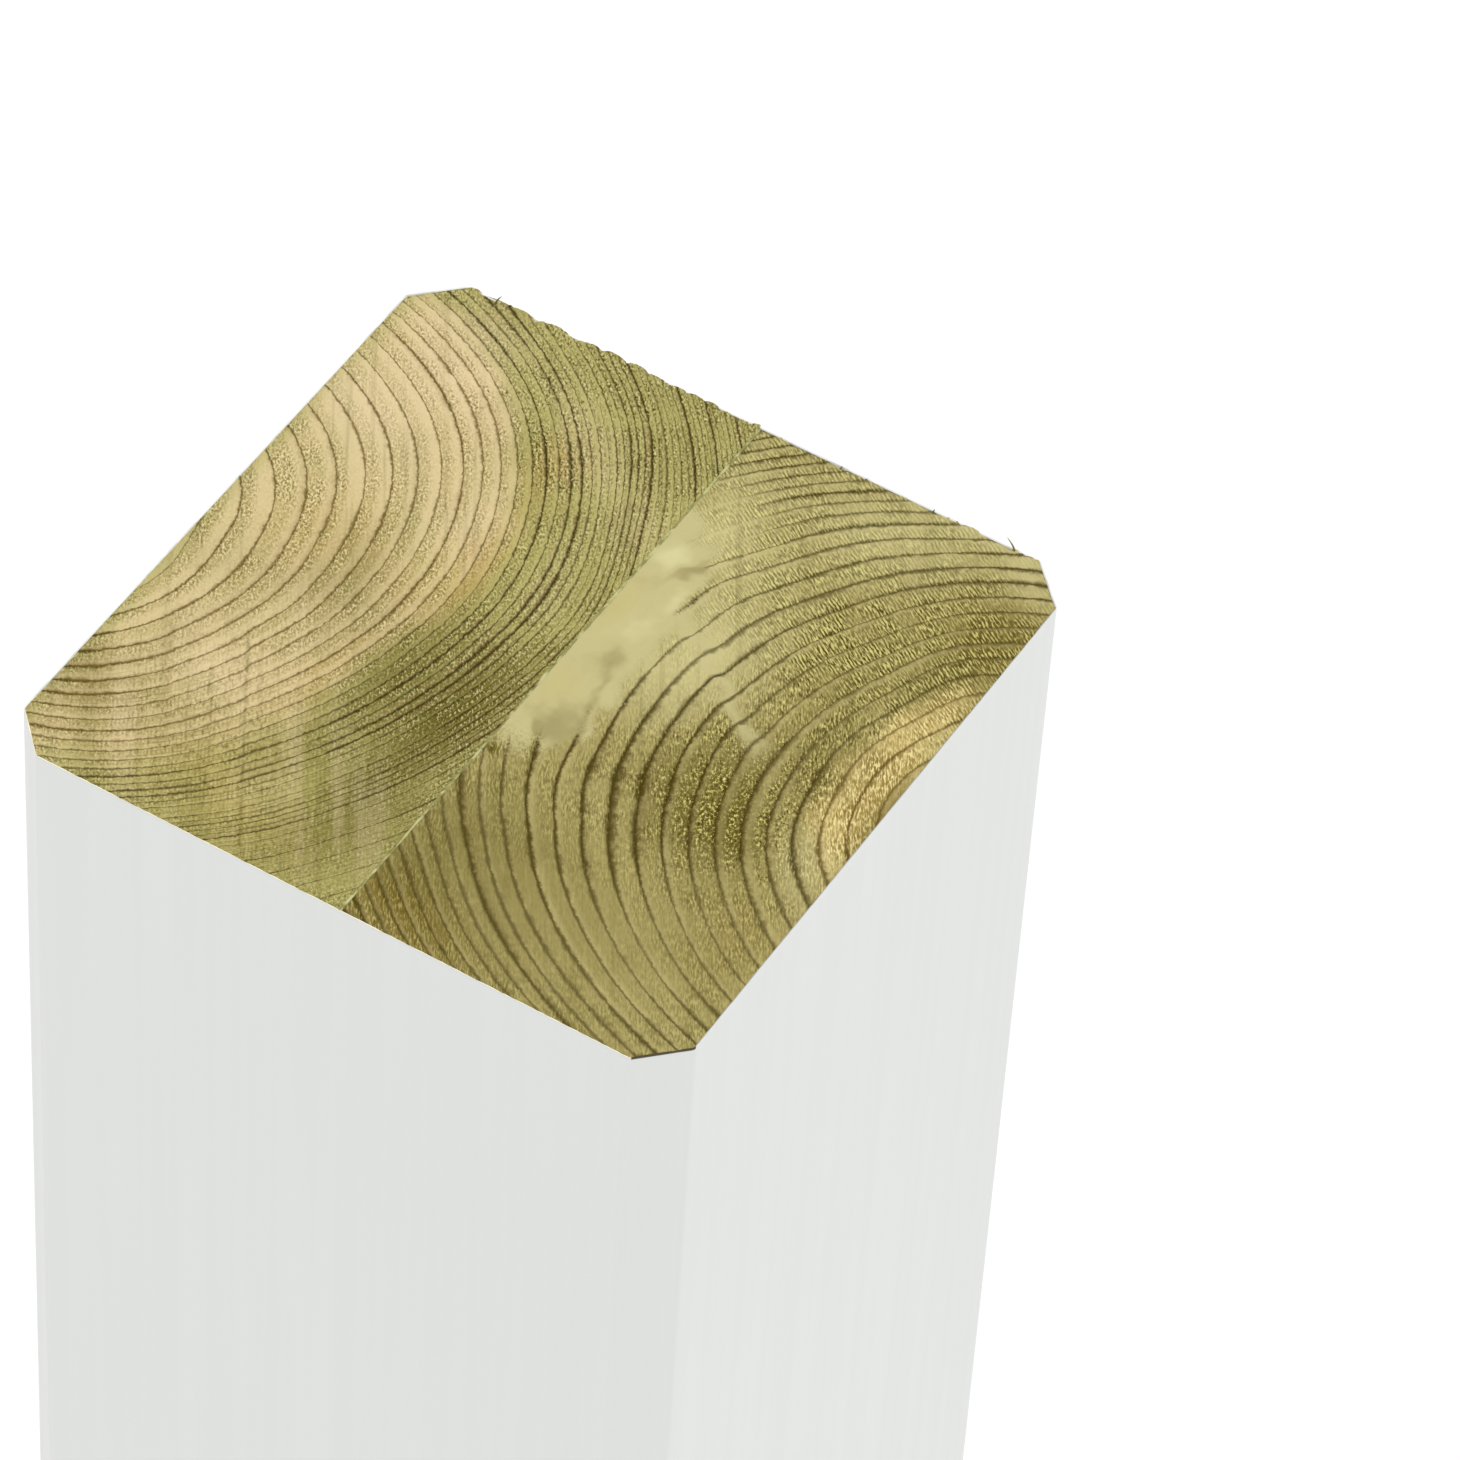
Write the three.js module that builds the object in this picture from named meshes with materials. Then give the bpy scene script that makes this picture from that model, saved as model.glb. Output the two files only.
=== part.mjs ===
// A square glulam post: two softwood lamellas glued face to face, planed square, chamfered
// along all four arrises and painted on the long faces, with both ends sawn and left raw.
// Millimetres, +Z up, origin at the centre of the underside.

import * as THREE from 'three';

// Driving dimensions
const SIDE = 90; // finished width across each pair of painted faces
const LENGTH = 1000; // from the sawn foot to the sawn top
const CHAMFER = 5.3; // leg of the 45 degree chamfer on each arris
const PAINT_THICKNESS = 0.2; // film on the long faces, flush with both sawn ends
const GLUE_THICKNESS = 0.3; // film between the two lamellas
const GLUE_OFFSET = 1.5; // how far the glue joint lies from the middle, towards +X

// Sizes that follow from them
const PAINT_HALF = SIDE / 2;
const WOOD_HALF = PAINT_HALF - PAINT_THICKNESS;
const WOOD_CHAMFER = CHAMFER - PAINT_THICKNESS * (2 - Math.SQRT2);
const GLUE_LEFT = GLUE_OFFSET - GLUE_THICKNESS / 2;
const GLUE_RIGHT = GLUE_OFFSET + GLUE_THICKNESS / 2;

// Finishes
const treatedPine = new THREE.MeshStandardMaterial({ color: 0xb0a36a, roughness: 0.85, metalness: 0 });
const curedGlue = new THREE.MeshStandardMaterial({ color: 0xb9b67c, roughness: 0.5, metalness: 0 });
const whitePaint = new THREE.MeshStandardMaterial({ color: 0xf1f2f0, roughness: 0.45, metalness: 0 });

// The eight corners of a square section with its corners cut off at 45 degrees.
function chamferedSquare(half, chamfer) {
  const flat = half - chamfer;
  return [
    new THREE.Vector2(flat, -half),
    new THREE.Vector2(half, -flat),
    new THREE.Vector2(half, flat),
    new THREE.Vector2(flat, half),
    new THREE.Vector2(-flat, half),
    new THREE.Vector2(-half, flat),
    new THREE.Vector2(-half, -flat),
    new THREE.Vector2(-flat, -half),
  ];
}

// The part of the wood section between the glue joint and the outer face on one side:
// side is -1 for the -X face and +1 for the +X face.
function lamellaSection(jointX, side) {
  const flat = WOOD_HALF - WOOD_CHAMFER;
  return new THREE.Shape([
    new THREE.Vector2(jointX, -WOOD_HALF),
    new THREE.Vector2(side * flat, -WOOD_HALF),
    new THREE.Vector2(side * WOOD_HALF, -flat),
    new THREE.Vector2(side * WOOD_HALF, flat),
    new THREE.Vector2(side * flat, WOOD_HALF),
    new THREE.Vector2(jointX, WOOD_HALF),
  ]);
}

// The thin strip of glue, as wide as the joint that it fills.
function glueSection() {
  return new THREE.Shape([
    new THREE.Vector2(GLUE_LEFT, -WOOD_HALF),
    new THREE.Vector2(GLUE_RIGHT, -WOOD_HALF),
    new THREE.Vector2(GLUE_RIGHT, WOOD_HALF),
    new THREE.Vector2(GLUE_LEFT, WOOD_HALF),
  ]);
}

// The paint film: the finished outline with the wood section taken out of it.
function paintSection() {
  const section = new THREE.Shape(chamferedSquare(PAINT_HALF, CHAMFER));
  section.holes.push(new THREE.Path(chamferedSquare(WOOD_HALF, WOOD_CHAMFER)));
  return section;
}

// Every piece is one section carried straight up from the foot to the top.
function fullLength(name, section, material) {
  const geometry = new THREE.ExtrudeGeometry(section, { depth: LENGTH, bevelEnabled: false });
  const piece = new THREE.Mesh(geometry, material);
  piece.name = name;
  return piece;
}

const post = new THREE.Group();
post.add(fullLength('lamella_left', lamellaSection(GLUE_LEFT, -1), treatedPine));
post.add(fullLength('lamella_right', lamellaSection(GLUE_RIGHT, 1), treatedPine));
post.add(fullLength('glue_line', glueSection(), curedGlue));
post.add(fullLength('paint_coat', paintSection(), whitePaint));

export default post;
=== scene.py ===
# %% [markdown]
# # A painted glulam post, seen on its sawn end
#
# The post is two softwood lamellas glued face to face, planed square, chamfered along its four
# arrises and painted white on the long faces. Both ends are sawn and left raw, so the end grain,
# with its growth rings, saw marks and torn fibres, is where nearly all the detail is.
# The packed CAD model is the fixed frame. Every piece made here takes its sizes from that frame
# and stands for one of its nodes.

import math
from types import SimpleNamespace

import bpy
import numpy as np
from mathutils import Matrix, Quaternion, Vector


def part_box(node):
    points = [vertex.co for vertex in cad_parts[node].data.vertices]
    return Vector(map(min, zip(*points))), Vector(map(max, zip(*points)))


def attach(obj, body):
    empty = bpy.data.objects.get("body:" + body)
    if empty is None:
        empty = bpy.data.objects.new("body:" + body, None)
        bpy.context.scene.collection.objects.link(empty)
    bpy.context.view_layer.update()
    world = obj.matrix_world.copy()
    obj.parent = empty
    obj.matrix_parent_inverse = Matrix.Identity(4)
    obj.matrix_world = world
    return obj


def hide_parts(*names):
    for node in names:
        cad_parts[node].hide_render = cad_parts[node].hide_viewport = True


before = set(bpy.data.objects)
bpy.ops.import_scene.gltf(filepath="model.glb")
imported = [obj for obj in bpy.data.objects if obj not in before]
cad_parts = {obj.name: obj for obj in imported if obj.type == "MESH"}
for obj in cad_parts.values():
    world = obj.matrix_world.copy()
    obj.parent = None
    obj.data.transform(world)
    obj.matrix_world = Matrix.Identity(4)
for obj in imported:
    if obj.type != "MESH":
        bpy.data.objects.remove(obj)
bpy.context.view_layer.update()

# %% [markdown]
# ## Sizes
#
# Shapes are worked out in millimetres, because a ring line is a fraction of one, and go into the
# meshes in metres. The frame's boxes give every size except the chamfer, which a box can't show.

# %% Sizes from the frame
MM = 0.001
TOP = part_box("lamella_left")[1].z / MM
PAINT_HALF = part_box("paint_coat")[1].x / MM
WOOD_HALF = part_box("lamella_right")[1].x / MM
JOINT_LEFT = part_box("glue_line")[0].x / MM
JOINT_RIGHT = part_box("glue_line")[1].x / MM
CHAMFER = 5.3
FILM = PAINT_HALF - WOOD_HALF
WOOD_CHAMFER = CHAMFER - FILM * (2 - math.sqrt(2))
print(f"post {2 * PAINT_HALF:.1f} mm square, {TOP:.0f} mm long, paint {FILM:.2f} mm thick")

# %% [markdown]
# ## Camera
#
# The picture is taken with a long lens, looking down on the sawn end from in front and to the
# right, with the camera turned a little about its own axis. Placing it by angles round a point on
# the sawn end keeps each number readable: azimuth and elevation of the view, then roll.

# %% Camera
CAMERA_AIM = Vector((23.5, 2.4, TOP)) * MM
CAMERA_AZIMUTH = math.radians(28.76)
CAMERA_ELEVATION = math.radians(48.31)
CAMERA_ROLL = math.radians(3.97)
CAMERA_DISTANCE = 0.986
CAMERA_LENS = 213.4

camera = bpy.data.objects.new("camera", bpy.data.cameras.new("camera"))
bpy.context.scene.collection.objects.link(camera)
bpy.context.scene.camera = camera
camera.data.lens = CAMERA_LENS
away = Vector((
    math.sin(CAMERA_AZIMUTH) * math.cos(CAMERA_ELEVATION),
    -math.cos(CAMERA_AZIMUTH) * math.cos(CAMERA_ELEVATION),
    math.sin(CAMERA_ELEVATION),
))
camera.location = CAMERA_AIM + away * CAMERA_DISTANCE
camera.rotation_mode = "QUATERNION"
camera.rotation_quaternion = away.to_track_quat("Z", "Y") @ Quaternion((0, 0, 1), CAMERA_ROLL)
print("camera at", tuple(round(c, 3) for c in camera.location))

# %% [markdown]
# ## Small helpers for shader nodes
#
# Long node trees are easier to read when a node, a sum or a mix is one short call that hands back
# the socket to use next.

# %% Node helpers
def add(tree, kind, inputs=None, **settings):
    """Add a node, set its properties, and fill or link its inputs by name or number."""
    node = tree.nodes.new(kind)
    for key, value in settings.items():
        setattr(node, key, value)
    for key, value in (inputs or {}).items():
        if isinstance(value, bpy.types.NodeSocket):
            tree.links.new(value, node.inputs[key])
        else:
            node.inputs[key].default_value = value
    return node


def calc(tree, operation, *values):
    """The result of one Math node."""
    return add(tree, "ShaderNodeMath", dict(enumerate(values)), operation=operation).outputs[0]


def times(tree, value, other):
    """Two values multiplied."""
    return calc(tree, "MULTIPLY", value, other)


def less(tree, value):
    """One less a value."""
    return calc(tree, "SUBTRACT", 1.0, value)


def ramp(tree, value, start, end, low=0.0, high=1.0):
    """A smooth step: low up to start, high past end."""
    inputs = {0: value, 1: start, 2: end, 3: low, 4: high}
    return add(tree, "ShaderNodeMapRange", inputs, interpolation_type="SMOOTHSTEP").outputs[0]


def between(tree, factor, first, second):
    """A value that goes from a first one to a second by a factor."""
    return add(tree, "ShaderNodeMix", {0: factor, 2: first, 3: second}).outputs[0]


def mix(tree, factor, first, second):
    """A colour that goes from a first one to a second by a factor."""
    inputs = {0: factor, 6: first, 7: second}
    return add(tree, "ShaderNodeMix", inputs, data_type="RGBA").outputs[2]


def layers(tree, base, *steps):
    """Colours laid over a base one after another, each by its own factor."""
    for factor, top in steps:
        base = mix(tree, factor, base, top)
    return base


def noise(tree, vector, scale, detail=2.0, roughness=0.5):
    """A noise value about 0.5."""
    inputs = {"Vector": vector, "Scale": scale, "Detail": detail, "Roughness": roughness}
    return add(tree, "ShaderNodeTexNoise", inputs).outputs[0]


def object_spot(tree):
    """The place of a point on its piece, in metres."""
    return add(tree, "ShaderNodeTexCoord").outputs["Object"]


def attribute(tree, name):
    """The outputs of a node that reads an attribute of the mesh."""
    return add(tree, "ShaderNodeAttribute", attribute_name=name).outputs


def colour(red, green, blue):
    """A linear colour from the display values, 0 to 255, that a picture shows."""
    display = np.array((red, green, blue)) / 255
    linear = np.where(display <= 0.04045, display / 12.92, ((display + 0.055) / 1.055) ** 2.4)
    return (*linear.tolist(), 1.0)


def new_material(name):
    """An empty material, its node tree and its Principled BSDF."""
    material = bpy.data.materials.new(name)
    material.use_nodes = True
    tree = material.node_tree
    return material, tree, tree.nodes["Principled BSDF"]


print("node helpers ready")

# %% [markdown]
# ## Floor and light
#
# A product on white needs a floor that comes out white while the white paint stays a shade
# darker. Light from all round gives every side a soft grey, and a broad sun from above and behind
# adds to what lies flat, so the floor is the brightest thing and the sawn end shows its relief.

# %% Floor, sky and key light
FLOOR_REACH = 12.0
FLOOR_TONE = (0.93, 0.93, 0.93, 1)
FLOOR_ROUGHNESS = 0.9
SKY_TONE = (1, 1, 1, 1)
SKY_STRENGTH = 0.72
KEY_STRENGTH = 1.4
KEY_SPREAD = math.radians(25)
KEY_FROM = Vector((0.06, 0.45, 0.90))

floor_mesh = bpy.data.meshes.new("floor")
reach = np.array([[-1, -1, 0], [1, -1, 0], [1, 1, 0], [-1, 1, 0]]) * FLOOR_REACH
floor_mesh.from_pydata(reach.tolist(), [], [(0, 1, 2, 3)])
floor = bpy.data.objects.new("floor", floor_mesh)
bpy.context.scene.collection.objects.link(floor)
floor_material, _, floor_shader = new_material("pale floor")
floor_shader.inputs["Base Color"].default_value = FLOOR_TONE
floor_shader.inputs["Roughness"].default_value = FLOOR_ROUGHNESS
floor_mesh.materials.append(floor_material)

sky = bpy.data.worlds.new("studio")
bpy.context.scene.world = sky
sky.use_nodes = True
background = sky.node_tree.nodes["Background"]
background.inputs["Color"].default_value = SKY_TONE
background.inputs["Strength"].default_value = SKY_STRENGTH

key = bpy.data.objects.new("key", bpy.data.lights.new("key", "SUN"))
bpy.context.scene.collection.objects.link(key)
key.data.energy = KEY_STRENGTH
key.data.angle = KEY_SPREAD
key.rotation_mode = "QUATERNION"
key.rotation_quaternion = KEY_FROM.to_track_quat("Z", "Y")
bpy.context.scene.view_settings.view_transform = "Standard"
print("sky", SKY_STRENGTH, "key", KEY_STRENGTH)

# %% [markdown]
# ## Growth rings
#
# Each lamella is cut from its own tree, with the pith just outside the post. A ring isn't a true
# circle: near the pith it is a tall oval, and further out its middle shifts and it grows flatter.
# Instead of drawing rings one by one, one smooth field gives every point its ring number. Whole
# numbers are ring lines, and the fraction says how far a point is on from the last line, so the
# colour and the relief can both be read off the same field. Some years leave a bold line and
# some a faint one, which the list of lines gives from the pith outwards. Where the tree grew
# slower or faster on one side, soft ovals in the list of lags hold the ring number back or push
# it on: x, y, two reaches, a turn in degrees, and how many rings.

# %% How each lamella grew
LEFT_GROWTH = SimpleNamespace(
    pith_x=-54.0, heart_y=-16.0, far_y=13.0, settle=40.0,
    heart_stretch=0.47, stretch_up=0.77, stretch_down=1.04,
    ring_near=3.17, ring_far=0.5, change_at=55.6, change_over=8.3, first=-3.52,
    lines=(
        0.5, 0.8, 0.8, 0.75, 0.7, 0.7, 0.8, 0.65, 0.6, 0.85, 0.6, 0.6, 0.5, 0.6, 0.9, 0.5, 0.8,
        0.9, 0.5, 0.5, 0.2, 0.6, 0.4, 0.7, 0.6, 0.5, 1.0, 0.2, 0.4, 0.2, 0.3, 0.3, 0.9, 0.25,
        0.3, 0.2, 0.95, 0.3, 0.2, 0.4, 0.2, 1.0, 0.2, 0.3, 0.2, 0.3, 0.9, 0.3,
    ),
    lag=[
        (-6, -30, 16, 18, 0, 0.3), (2, -28, 5, 10, 0, 0.15), (-42, -34, 12, 12, 0, 0.2),
        (-36, -20, 8, 8, 0, 0.12), (-43, -8, 5, 7, 0, -0.28), (-30, 8, 14, 12, 0, -0.08),
        (-3, -8, 8, 8, 0, 0.15), (0, -30, 4, 6, 0, 0.12), (-40, 40, 10, 5, 0, -0.14),
        (-1, 22, 4, 13, 24, -1.77),
    ],
)
RIGHT_GROWTH = SimpleNamespace(
    pith_x=62.0, heart_y=12.2, far_y=-3.1, settle=40.0,
    heart_stretch=0.73, stretch_up=0.76, stretch_down=0.63,
    ring_near=3.16, ring_far=2.2, change_at=62.0, change_over=1.5, first=-5.24,
    lines=(
        0.6, 0.9, 0.7, 0.75, 0.6, 0.6, 0.5, 0.6, 0.7, 0.95, 0.88, 0.85, 0.75,
        0.85, 0.6, 0.5, 0.8, 0.45, 0.5, 0.55, 0.6, 0.55, 0.6, 0.5, 0.9,
    ),
    lag=[
        (15, -2, 15, 11, 0, -0.26), (9.6, -8, 3.2, 5, 0, -0.2), (9, 21, 8, 6, 0, 0.38),
        (18, 38, 14, 9, 0, 0.45), (40, -5, 7, 9, 0, 0.3), (38, 8, 7, 7, 0, 0.45),
        (8, 19, 6, 8, 0, 0.12), (40, 24, 5, 6, 0, 0.45), (45, 3, 4, 9, 0, 0.45),
        (24, 12, 8, 6, 0, -0.15), (31, 22, 7, 6, 0, -0.2),
    ],
)
SETTLING_ROUNDS = 20


def ring_ovals(x, y, growth):
    """Half width of the ring oval through each point.

    An oval of half width a is centred at height far + (heart - far) e and is stretch + heart
    stretch times e as tall as it is wide, where e = exp(-a / settle) and the stretch is one
    number above that middle and another below it. Repeating a = hypot(across, rise / stretch)
    settles on the half width.
    """
    across = np.abs(x - growth.pith_x)
    size = np.hypot(across, y - growth.far_y)
    for _ in range(SETTLING_ROUNDS):
        fade = np.exp(-size / growth.settle)
        rise = y - growth.far_y - (growth.heart_y - growth.far_y) * fade
        stretch = np.where(rise > 0, growth.stretch_up, growth.stretch_down)
        stretch = stretch + growth.heart_stretch * fade
        size = 0.5 * size + 0.5 * np.hypot(across, rise / stretch)
    return size


def ring_count(size, growth):
    """Ring number of an oval: its size over the ring width, which goes from near to far.

    It is first + a / near + (1 / far - 1 / near) times over ln(1 + exp((a - at) / over)).
    """
    change = np.logaddexp(0, (size - growth.change_at) / growth.change_over) * growth.change_over
    closing = 1 / growth.ring_far - 1 / growth.ring_near
    return growth.first + size / growth.ring_near + change * closing


joint_spot = np.array([JOINT_LEFT]), np.zeros(1)
print("left rings from pith to joint:", ring_count(ring_ovals(*joint_spot, LEFT_GROWTH), LEFT_GROWTH))

# %% [markdown]
# ## Seeded noise and soft patches
#
# Wood is never quite regular. Noise made of a few dozen plane waves is smooth, can be worked out
# for a whole grid at once, and comes out the same each run because its draws are seeded.

# %% Noise and patches
WAVES = 32


def soft_noise(x, y, size, seed):
    """Smooth noise of unit spread: a sum of plane waves of random heading and phase, near size."""
    draw = np.random.default_rng(seed)
    heading = draw.uniform(0, 2 * np.pi, WAVES)
    turns = 2 * np.pi / size * draw.uniform(0.7, 1.4, WAVES)
    phase = draw.uniform(0, 2 * np.pi, WAVES)
    total = np.zeros_like(x)
    for along, rate, start in zip(heading, turns, phase):
        total += np.cos(rate * (x * np.cos(along) + y * np.sin(along)) + start)
    return total * math.sqrt(2 / WAVES)


def smooth_step(value, start, end):
    """0 before start, 1 after end, and 3 t t - 2 t t t between them."""
    t = np.clip((value - start) / (end - start), 0, 1)
    return t * t * (3 - 2 * t)


def patches(x, y, places):
    """The sum of soft ovals, each exp(-q) with q the squared distance in its own reaches."""
    total = np.zeros_like(x)
    for at_x, at_y, reach_x, reach_y, turn, strength in places:
        c, s = math.cos(math.radians(turn)), math.sin(math.radians(turn))
        along = ((x - at_x) * c + (y - at_y) * s) / reach_x
        across = ((y - at_y) * c - (x - at_x) * s) / reach_y
        total += strength * np.exp(-along ** 2 - across ** 2)
    return total


sample = np.linspace(0, 2 * WOOD_HALF, 90)
print("noise spread", soft_noise(*np.meshgrid(sample, sample), 8.0, 1).std())

# %% [markdown]
# ## What the wood shows where
#
# The heart of each tree is pale tan and the sapwood round it olive from the treatment, which
# soaks further in at some places than at others. These are broad soft areas, so each is a few
# ovals: x, y, the two reaches, a turn in degrees, and a strength.
# Shade is darker above 0 and hazy below it, and warm is pink or brown above 0 and amber below.
# Sparkle is how torn the fibres are, bold how strong the ring lines, grain how far flecks are
# grains and not strokes, and weave where rows of tooth marks show.

# %% Broad areas of each sawn end
LEFT_AREAS = SimpleNamespace(
    shade=[
        (-3.5, -13, 6, 17, -8, 0.93), (-18, -36, 20, 9, 0, 0.06), (-30, -7, 14, 5, 0, 0.14),
        (-8, -13, 5, 8, 0, 0.15), (-20, -8, 4, 6, 0, 0.15), (-10, 13, 3, 9, 0, 0.1),
        (-17, -25, 4, 4, 0, 0.14), (-10, 42, 5, 4, 0, 0.15), (-34, 40, 6, 3, 0, -0.4),
        (-16, 33, 8, 3.5, -35, -0.3), (-16, 11, 3, 5, 0, -0.22), (-3, 4, 4, 6, 0, -0.15),
        (-4, 25, 4, 4, 0, -0.15), (-37, -17, 4, 4, 0, -0.3), (-33, 33, 9, 7, -30, -0.18),
        (-38, 21, 10, 6, -25, -0.75), (-29, -22.5, 7, 5, 10, -0.8), (-31, -37, 9, 4, -35, -0.15),
        (-13, -10, 3.6, 13, -8, 0.72), (-26, 0, 5, 7, 0, 0.4), (-38, -33, 8, 6, 0, 0.38),
        (-4, -33, 6, 9, 0, 0.25), (-20, 28, 3, 9, 35, 0.2), (-40, -8, 7, 8, 0, 0.08),
        (-6.5, 10, 3, 9, 10, -0.2), (-19, 14, 6, 7, 0, -0.3), (-36, 27, 10, 8, -30, -0.12),
        (-9, -30, 9, 5, -35, 0.14), (-6, -38, 9, 5, 30, 0.14), (-15, -35, 6, 5, 0, -0.35),
        (-10, 28, 4, 4, 0, -0.15), (-44, 2, 2, 6, 0, -0.25), (-14, -7, 3, 4, 0, -0.15),
        (-1, 22, 3, 4, 0, -0.2), (-2, 6, 3, 6, 0, -0.15), (-27, 33, 4, 3, -30, 0.15),
        (-15, 20, 3, 4, 0, 0.15), (-20, -43, 8, 2, 0, 0.15), (-27, -37, 5, 3, -35, 0.15),
    ],
    warm=[
        (-33, 32, 12, 6, -30, 0.85), (-25, -26, 11, 7, 45, 0.9), (-19, 21, 4, 10, 25, 0.3),
        (-14.5, 9, 3.2, 13, 4, -1), (-18.5, 2, 3, 6, 0, -0.4), (-21, -22, 9, 6, 0, -0.6),
        (-26, -27, 8, 8, 0, -0.75), (-19, -14, 3, 9, -15, -0.6), (-30, -36, 17, 9, 0, -0.5),
        (-17, 26.5, 6, 5, 35, -0.75), (-10, -40, 10, 5, 0, -0.35), (-30, 2, 8, 7, 0, -0.7),
    ],
    sparkle=[
        (-10, 33, 17, 12, -40, 0.4), (-20, 34, 8, 7, -40, 0.2), (-36, 8, 8, 14, 0, 0.15),
        (-25, -30, 18, 12, 0, -0.3), (-10, -36, 14, 9, 0, -0.35),
    ],
    bold=[
        (1, -38, 9, 11, -30, -0.35), (-32, 30, 16, 12, -30, 0.15), (-5, -6, 9, 18, 0, 0.42),
        (-4, 36, 10, 12, -40, 0.4), (-12, -36, 22, 9, 0, -0.15), (-42, -32, 6, 8, 0, 0.45),
        (-28, -24, 9, 8, 0, -0.2),
    ],
    grain=[
        (-10, 33, 17, 12, -40, 0.3),
    ],
    weave=[
        (-30, -32, 18, 12, 0, 1), (-10, -34, 14, 10, 0, 0.8), (-24, -10, 10, 10, 0, 0.4),
    ],
)
RIGHT_AREAS = SimpleNamespace(
    shade=[
        (40.5, 30, 7, 9, 40, 0.46), (27, -8, 9, 11, 10, 0.66), (9, -38, 14, 9, -25, 0.55),
        (15, -36, 9, 4.5, -30, -0.35), (23, -19, 5, 6, 45, -0.25), (41, 26, 5, 8, 0, 0.15),
        (45.5, 3, 2.5, 6, 0, 0.5), (7, 25, 6, 5, 0, -0.6), (10.5, 4, 2, 6, 0, -0.2),
        (25, 39, 11, 6, 0, -0.35), (37, 13, 3.5, 3.5, 0, -0.3), (17, 10, 5, 8, 0, -0.25),
        (33, 13, 7, 14, 25, 0.31), (14, 11, 7.5, 14, -12, -0.8), (6.5, 31, 4, 8, -20, -0.45),
        (40, -10, 4.5, 8, 25, -0.7), (36, -12, 3, 7, 40, 0.3), (14, -27, 26, 16, -10, 0.13),
        (12, -24, 8, 8, 0, 0.2), (20, 37, 16, 8, 0, -0.35), (3, 38, 2.5, 6, 0, -0.3),
        (18, -14, 4, 6, 40, -0.25), (16, 0, 3, 6, 0, -0.2), (38, 7, 3, 3, 0, 0.25),
        (18, 20, 3, 4, 0, 0.2), (40, 20, 3, 4, 0, 0.3), (25, 6, 3.5, 4, 0, -0.2),
        (44, 14, 2.5, 5, 0, -0.35), (33, -11, 5, 4, -20, 0.2), (25, -15, 4, 3, -20, 0.2),
        (21, -4, 3, 3, 0, 0.18), (13, -5, 2.5, 4, 0, 0.15), (43, 35, 3, 4, 0, 0.2),
        (11, 33, 4, 4, 0, 0.15), (37, -28, 4, 3, 0, 0.12), (4, -28, 4, 7, 0, 0.12),
        (2.3, -15, 1.2, 0.8, -10, 1), (45, -1, 2, 4, 0, 0.3), (40, 42, 6, 3, -40, -0.7),
        (30, 45, 9, 1.5, 0, -0.7), (38, -3, 3, 3, 0, 0.2),
    ],
    warm=[
        (42, 31, 6, 7, 40, 0.8), (7, -41, 11, 5, -20, 1), (41, -22, 6, 10, 0, 0.5),
        (28, 10, 5, 8, 0, 0.3), (43, 4, 3, 12, 0, -0.6), (2.8, 12, 1.8, 6, 0, 0.4),
        (3.5, -3, 3.4, 5.5, 0, 0.3),
    ],
    sparkle=[
        (24, 20, 20, 16, 35, 0.38), (30, -6, 11, 12, 0, 0.5), (43, 4, 5, 14, 0, 0.12),
        (45.5, 3, 2.2, 6, 0, -0.7), (13, 5, 6, 8, 0, -0.4), (18, 12, 4, 6, 0, -0.35),
        (8, 33, 8, 8, 0, 0.3), (20, -32, 26, 14, -10, -0.52), (11, -8, 5, 6, 0, -0.3),
        (40, 42, 6, 3, -40, -0.5),
    ],
    bold=[
        (23, -9, 17, 13, -20, 0.5), (34, 26, 10, 16, 30, -0.2), (22, 20, 12, 8, 30, -0.1),
        (14, 40, 14, 6, 0, 0.05), (43, 5, 4, 8, 0, 0.1), (34, -29, 11, 11, -30, -0.55),
        (9.1, 16.2, 1, 2.4, -12, 0.7), (6.2, -11.6, 1.5, 2.2, 25, 0.6), (9.6, -8.6, 1.4, 2.4, 15, 0.6),
        (40, 42, 6, 3, -40, 0.4), (6, 41.5, 9, 4, 0, 0.6), (5.5, 30, 7, 6.5, -30, -1),
        (13, 8, 3.5, 10, 0, -0.38), (33, 9, 6, 5, 0, -0.3),
    ],
    grain=[
        (30, -7, 11, 12, 0, 0.8), (42, 0, 5, 12, 0, -0.3),
    ],
    weave=[
        (30, -38, 16, 7, -20, 0.3),
    ],
)
print(sum(len(places) for places in vars(LEFT_AREAS).values()), "areas on the left")

# %% [markdown]
# ## A smear of resin and a healed streak
#
# Beside the glue joint the right lamella has a smooth pale smear that hides its rings, and a pale
# streak runs on from it across several rings, each of which steps sideways where it crosses.
# The smear's edge is a list of x by height. Gaps let a few ring lines through, and grey and pale
# clouds keep it from being one flat colour.

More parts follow.
